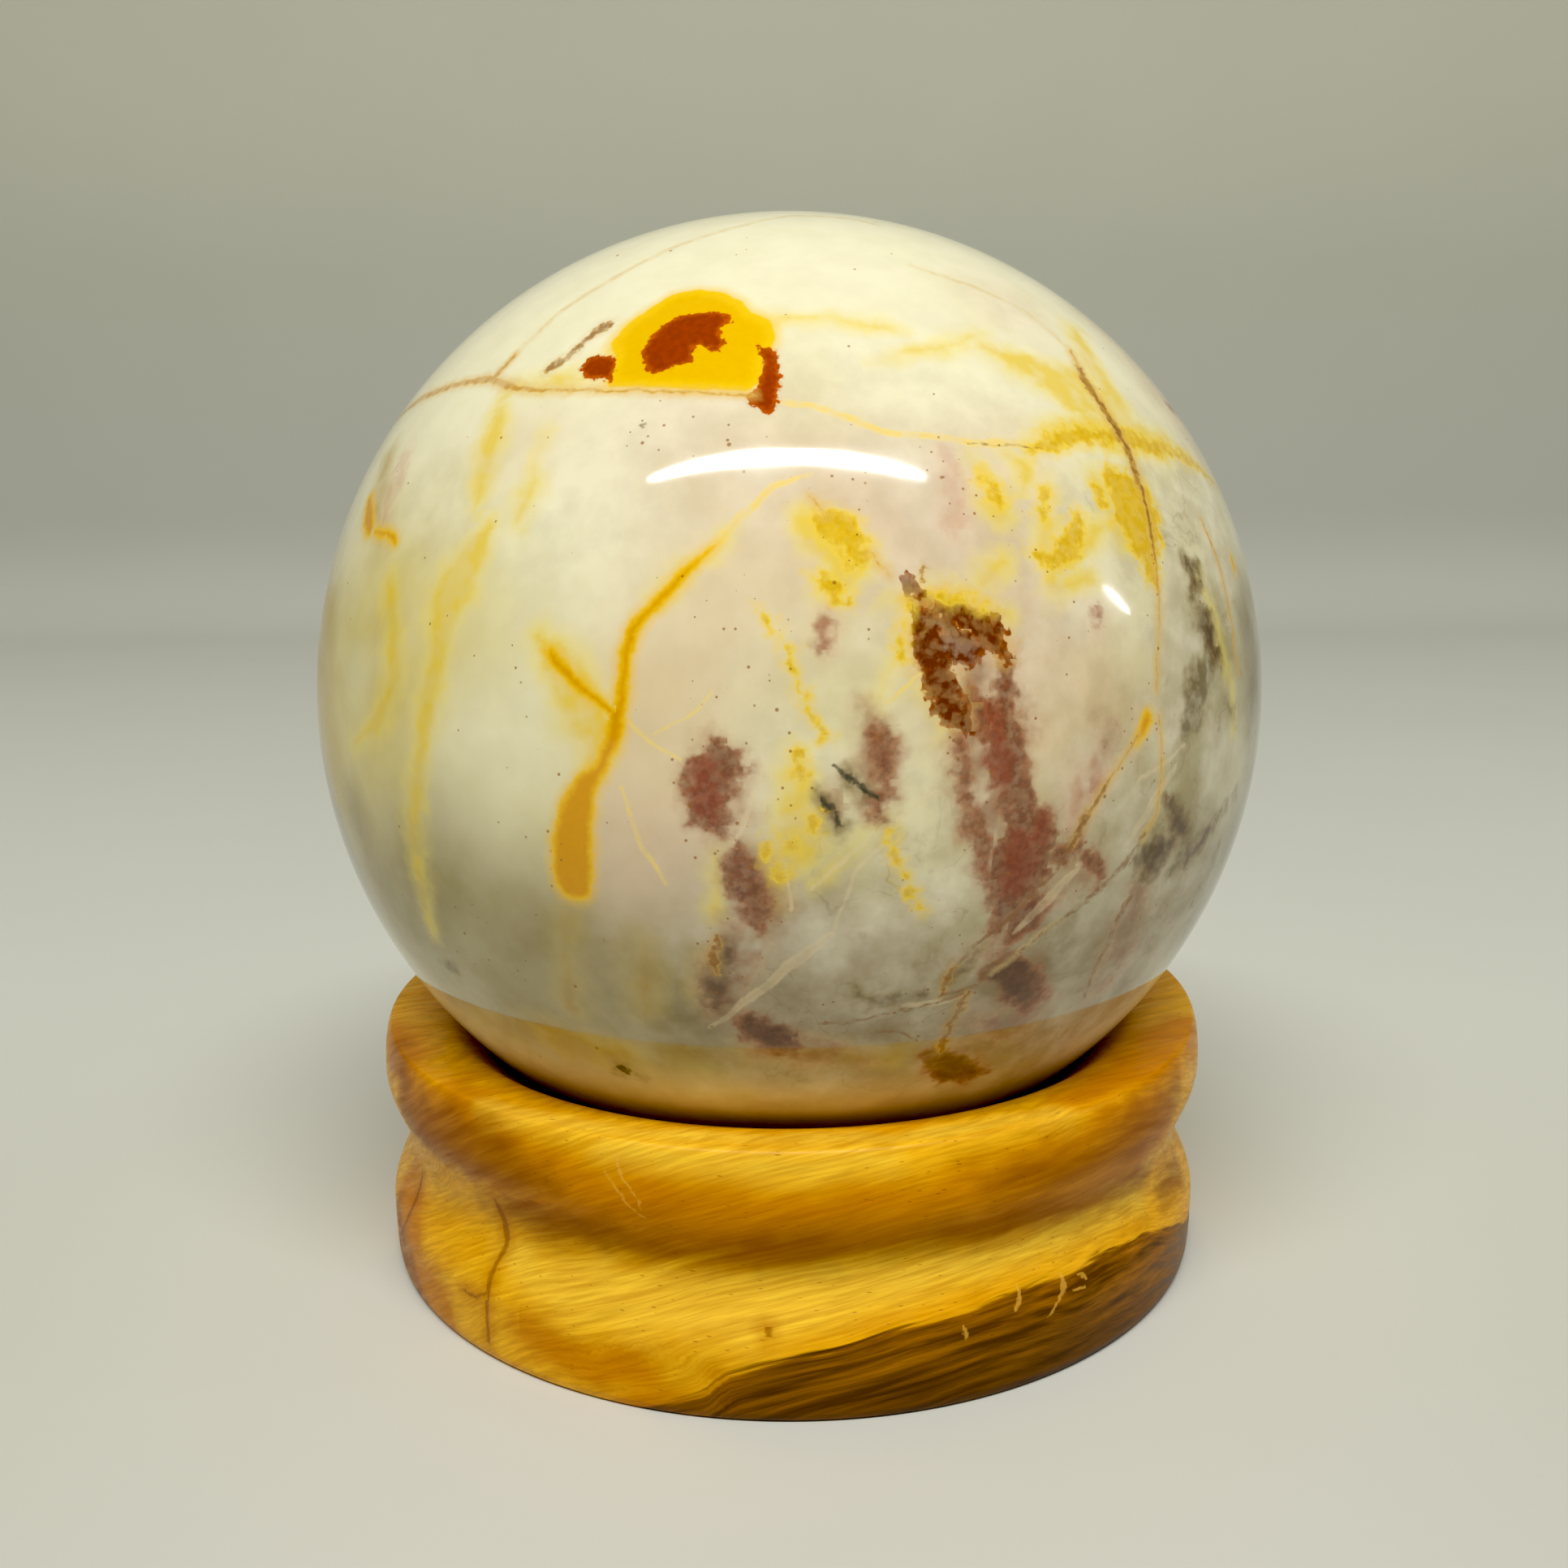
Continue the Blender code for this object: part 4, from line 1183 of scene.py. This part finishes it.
def make_backdrop():
    """A sheet that runs from in front of the camera to the wall, and up it round a wide bend."""
    level = [(PAPER_FRONT, 0.0), (PAPER_BACK, 0.0)]
    turns = [math.pi / 2 * i / BEND_STEPS for i in range(1, BEND_STEPS + 1)]
    bend = [(PAPER_BACK + PAPER_BEND * math.sin(a), PAPER_BEND * (1 - math.cos(a))) for a in turns]
    side = level + bend + [(PAPER_BACK + PAPER_BEND, PAPER_HEIGHT)]
    places = [(x, y, z) for y, z in side for x in (-PAPER_HALF_WIDTH, PAPER_HALF_WIDTH)]
    faces = [(2 * i, 2 * i + 1, 2 * i + 3, 2 * i + 2) for i in range(len(side) - 1)]
    mesh = bpy.data.meshes.new("backdrop")
    mesh.from_pydata(places, [], faces)
    mesh.shade_smooth()
    sheet = bpy.data.objects.new("backdrop", mesh)
    bpy.context.scene.collection.objects.link(sheet)
    material, tree, shader, point = new_material("pale_paper")
    cloud = use(tree, CLOUDS, point=point, size=60.0, detail=4.0, contrast=1.6)["Value"]
    place = add(tree, "SeparateXYZ", {0: point}).outputs
    # Painted shade: the paper is darker where it bends up from the floor, and a little lighter again higher
    # up the wall.
    paper = blend(tree, ease(tree, place["Z"], 0.0, 50.0), tint(206, 206, 194), tint(184, 184, 170))
    paper = blend(tree, ease(tree, place["Z"], 60.0, 260.0), paper, tint(198, 198, 179))
    # Painted shade: the floor is darkened towards its front corners.
    aside = ease(tree, calc(tree, "ABSOLUTE", place["X"]), 15.0, 95.0)
    corner = calc(tree, "MULTIPLY", aside, ease(tree, place["Y"], 60.0, -60.0))
    paper = wash(tree, paper, corner, 0.5, (178, 177, 158))
    paper = wash(tree, paper, cloud, 0.06, (150, 148, 136))
    tree.links.new(paper, shader.inputs["Base Color"])
    shader.inputs["Roughness"].default_value = 0.8
    mesh.materials.append(material)


make_backdrop()
print(f"paper runs back to {PAPER_BACK} m and up to {PAPER_HEIGHT} m")

# %% Lamps
BAR_AWAY = 1.0
BAR_FORWARD = 0.575
BAR_LENGTH = 1.18
BAR_DEPTH = 0.07
BAR_WATTS = 14.4
GLINT_TOWARDS = (0.945, -0.125, 0.28)
GLINT_AWAY = 1.0
GLINT_SIZE = (0.008, 0.13)
GLINT_WATTS = 0.27
GLINT_LEAN_DEG = 40.0
SKY = (1.0, 0.99, 0.95)
SKY_STRENGTH = 0.14
BLACK_POINT = 0.012


def add_lamp(name, place, size, watts, lean_deg=0.0):
    """A flat oval lamp that faces the ball's middle."""
    lamp = bpy.data.lights.new(name, "AREA")
    lamp.shape = "ELLIPSE"
    lamp.size, lamp.size_y = size
    lamp.energy = watts
    held = bpy.data.objects.new(name, lamp)
    held.location = place
    held.rotation_euler = (CENTRE - Vector(place)).to_track_quat("-Z", "Y").to_euler()
    held.rotation_euler.rotate_axis("Z", math.radians(lean_deg))
    bpy.context.scene.collection.objects.link(held)


bar_place = CENTRE + Vector((0, -BAR_FORWARD, BAR_AWAY))
glint_place = CENTRE + Vector(GLINT_TOWARDS) * GLINT_AWAY
add_lamp("bar_lamp", bar_place, (BAR_LENGTH, BAR_DEPTH), BAR_WATTS)
add_lamp("glint_lamp", glint_place, GLINT_SIZE, GLINT_WATTS, GLINT_LEAN_DEG)
sky = bpy.data.worlds.new("studio")
sky.use_nodes = True
sky.node_tree.nodes["Background"].inputs["Color"].default_value = (*SKY, 1.0)
sky.node_tree.nodes["Background"].inputs["Strength"].default_value = SKY_STRENGTH
bpy.context.scene.world = sky
display = bpy.context.scene.view_settings
display.view_transform = "Standard"
display.use_curve_mapping = True
display.curve_mapping.black_level = (BLACK_POINT, BLACK_POINT, BLACK_POINT)
display.curve_mapping.update()
print(f"two lamps of {BAR_WATTS} and {GLINT_WATTS} watts, sky at {SKY_STRENGTH}")
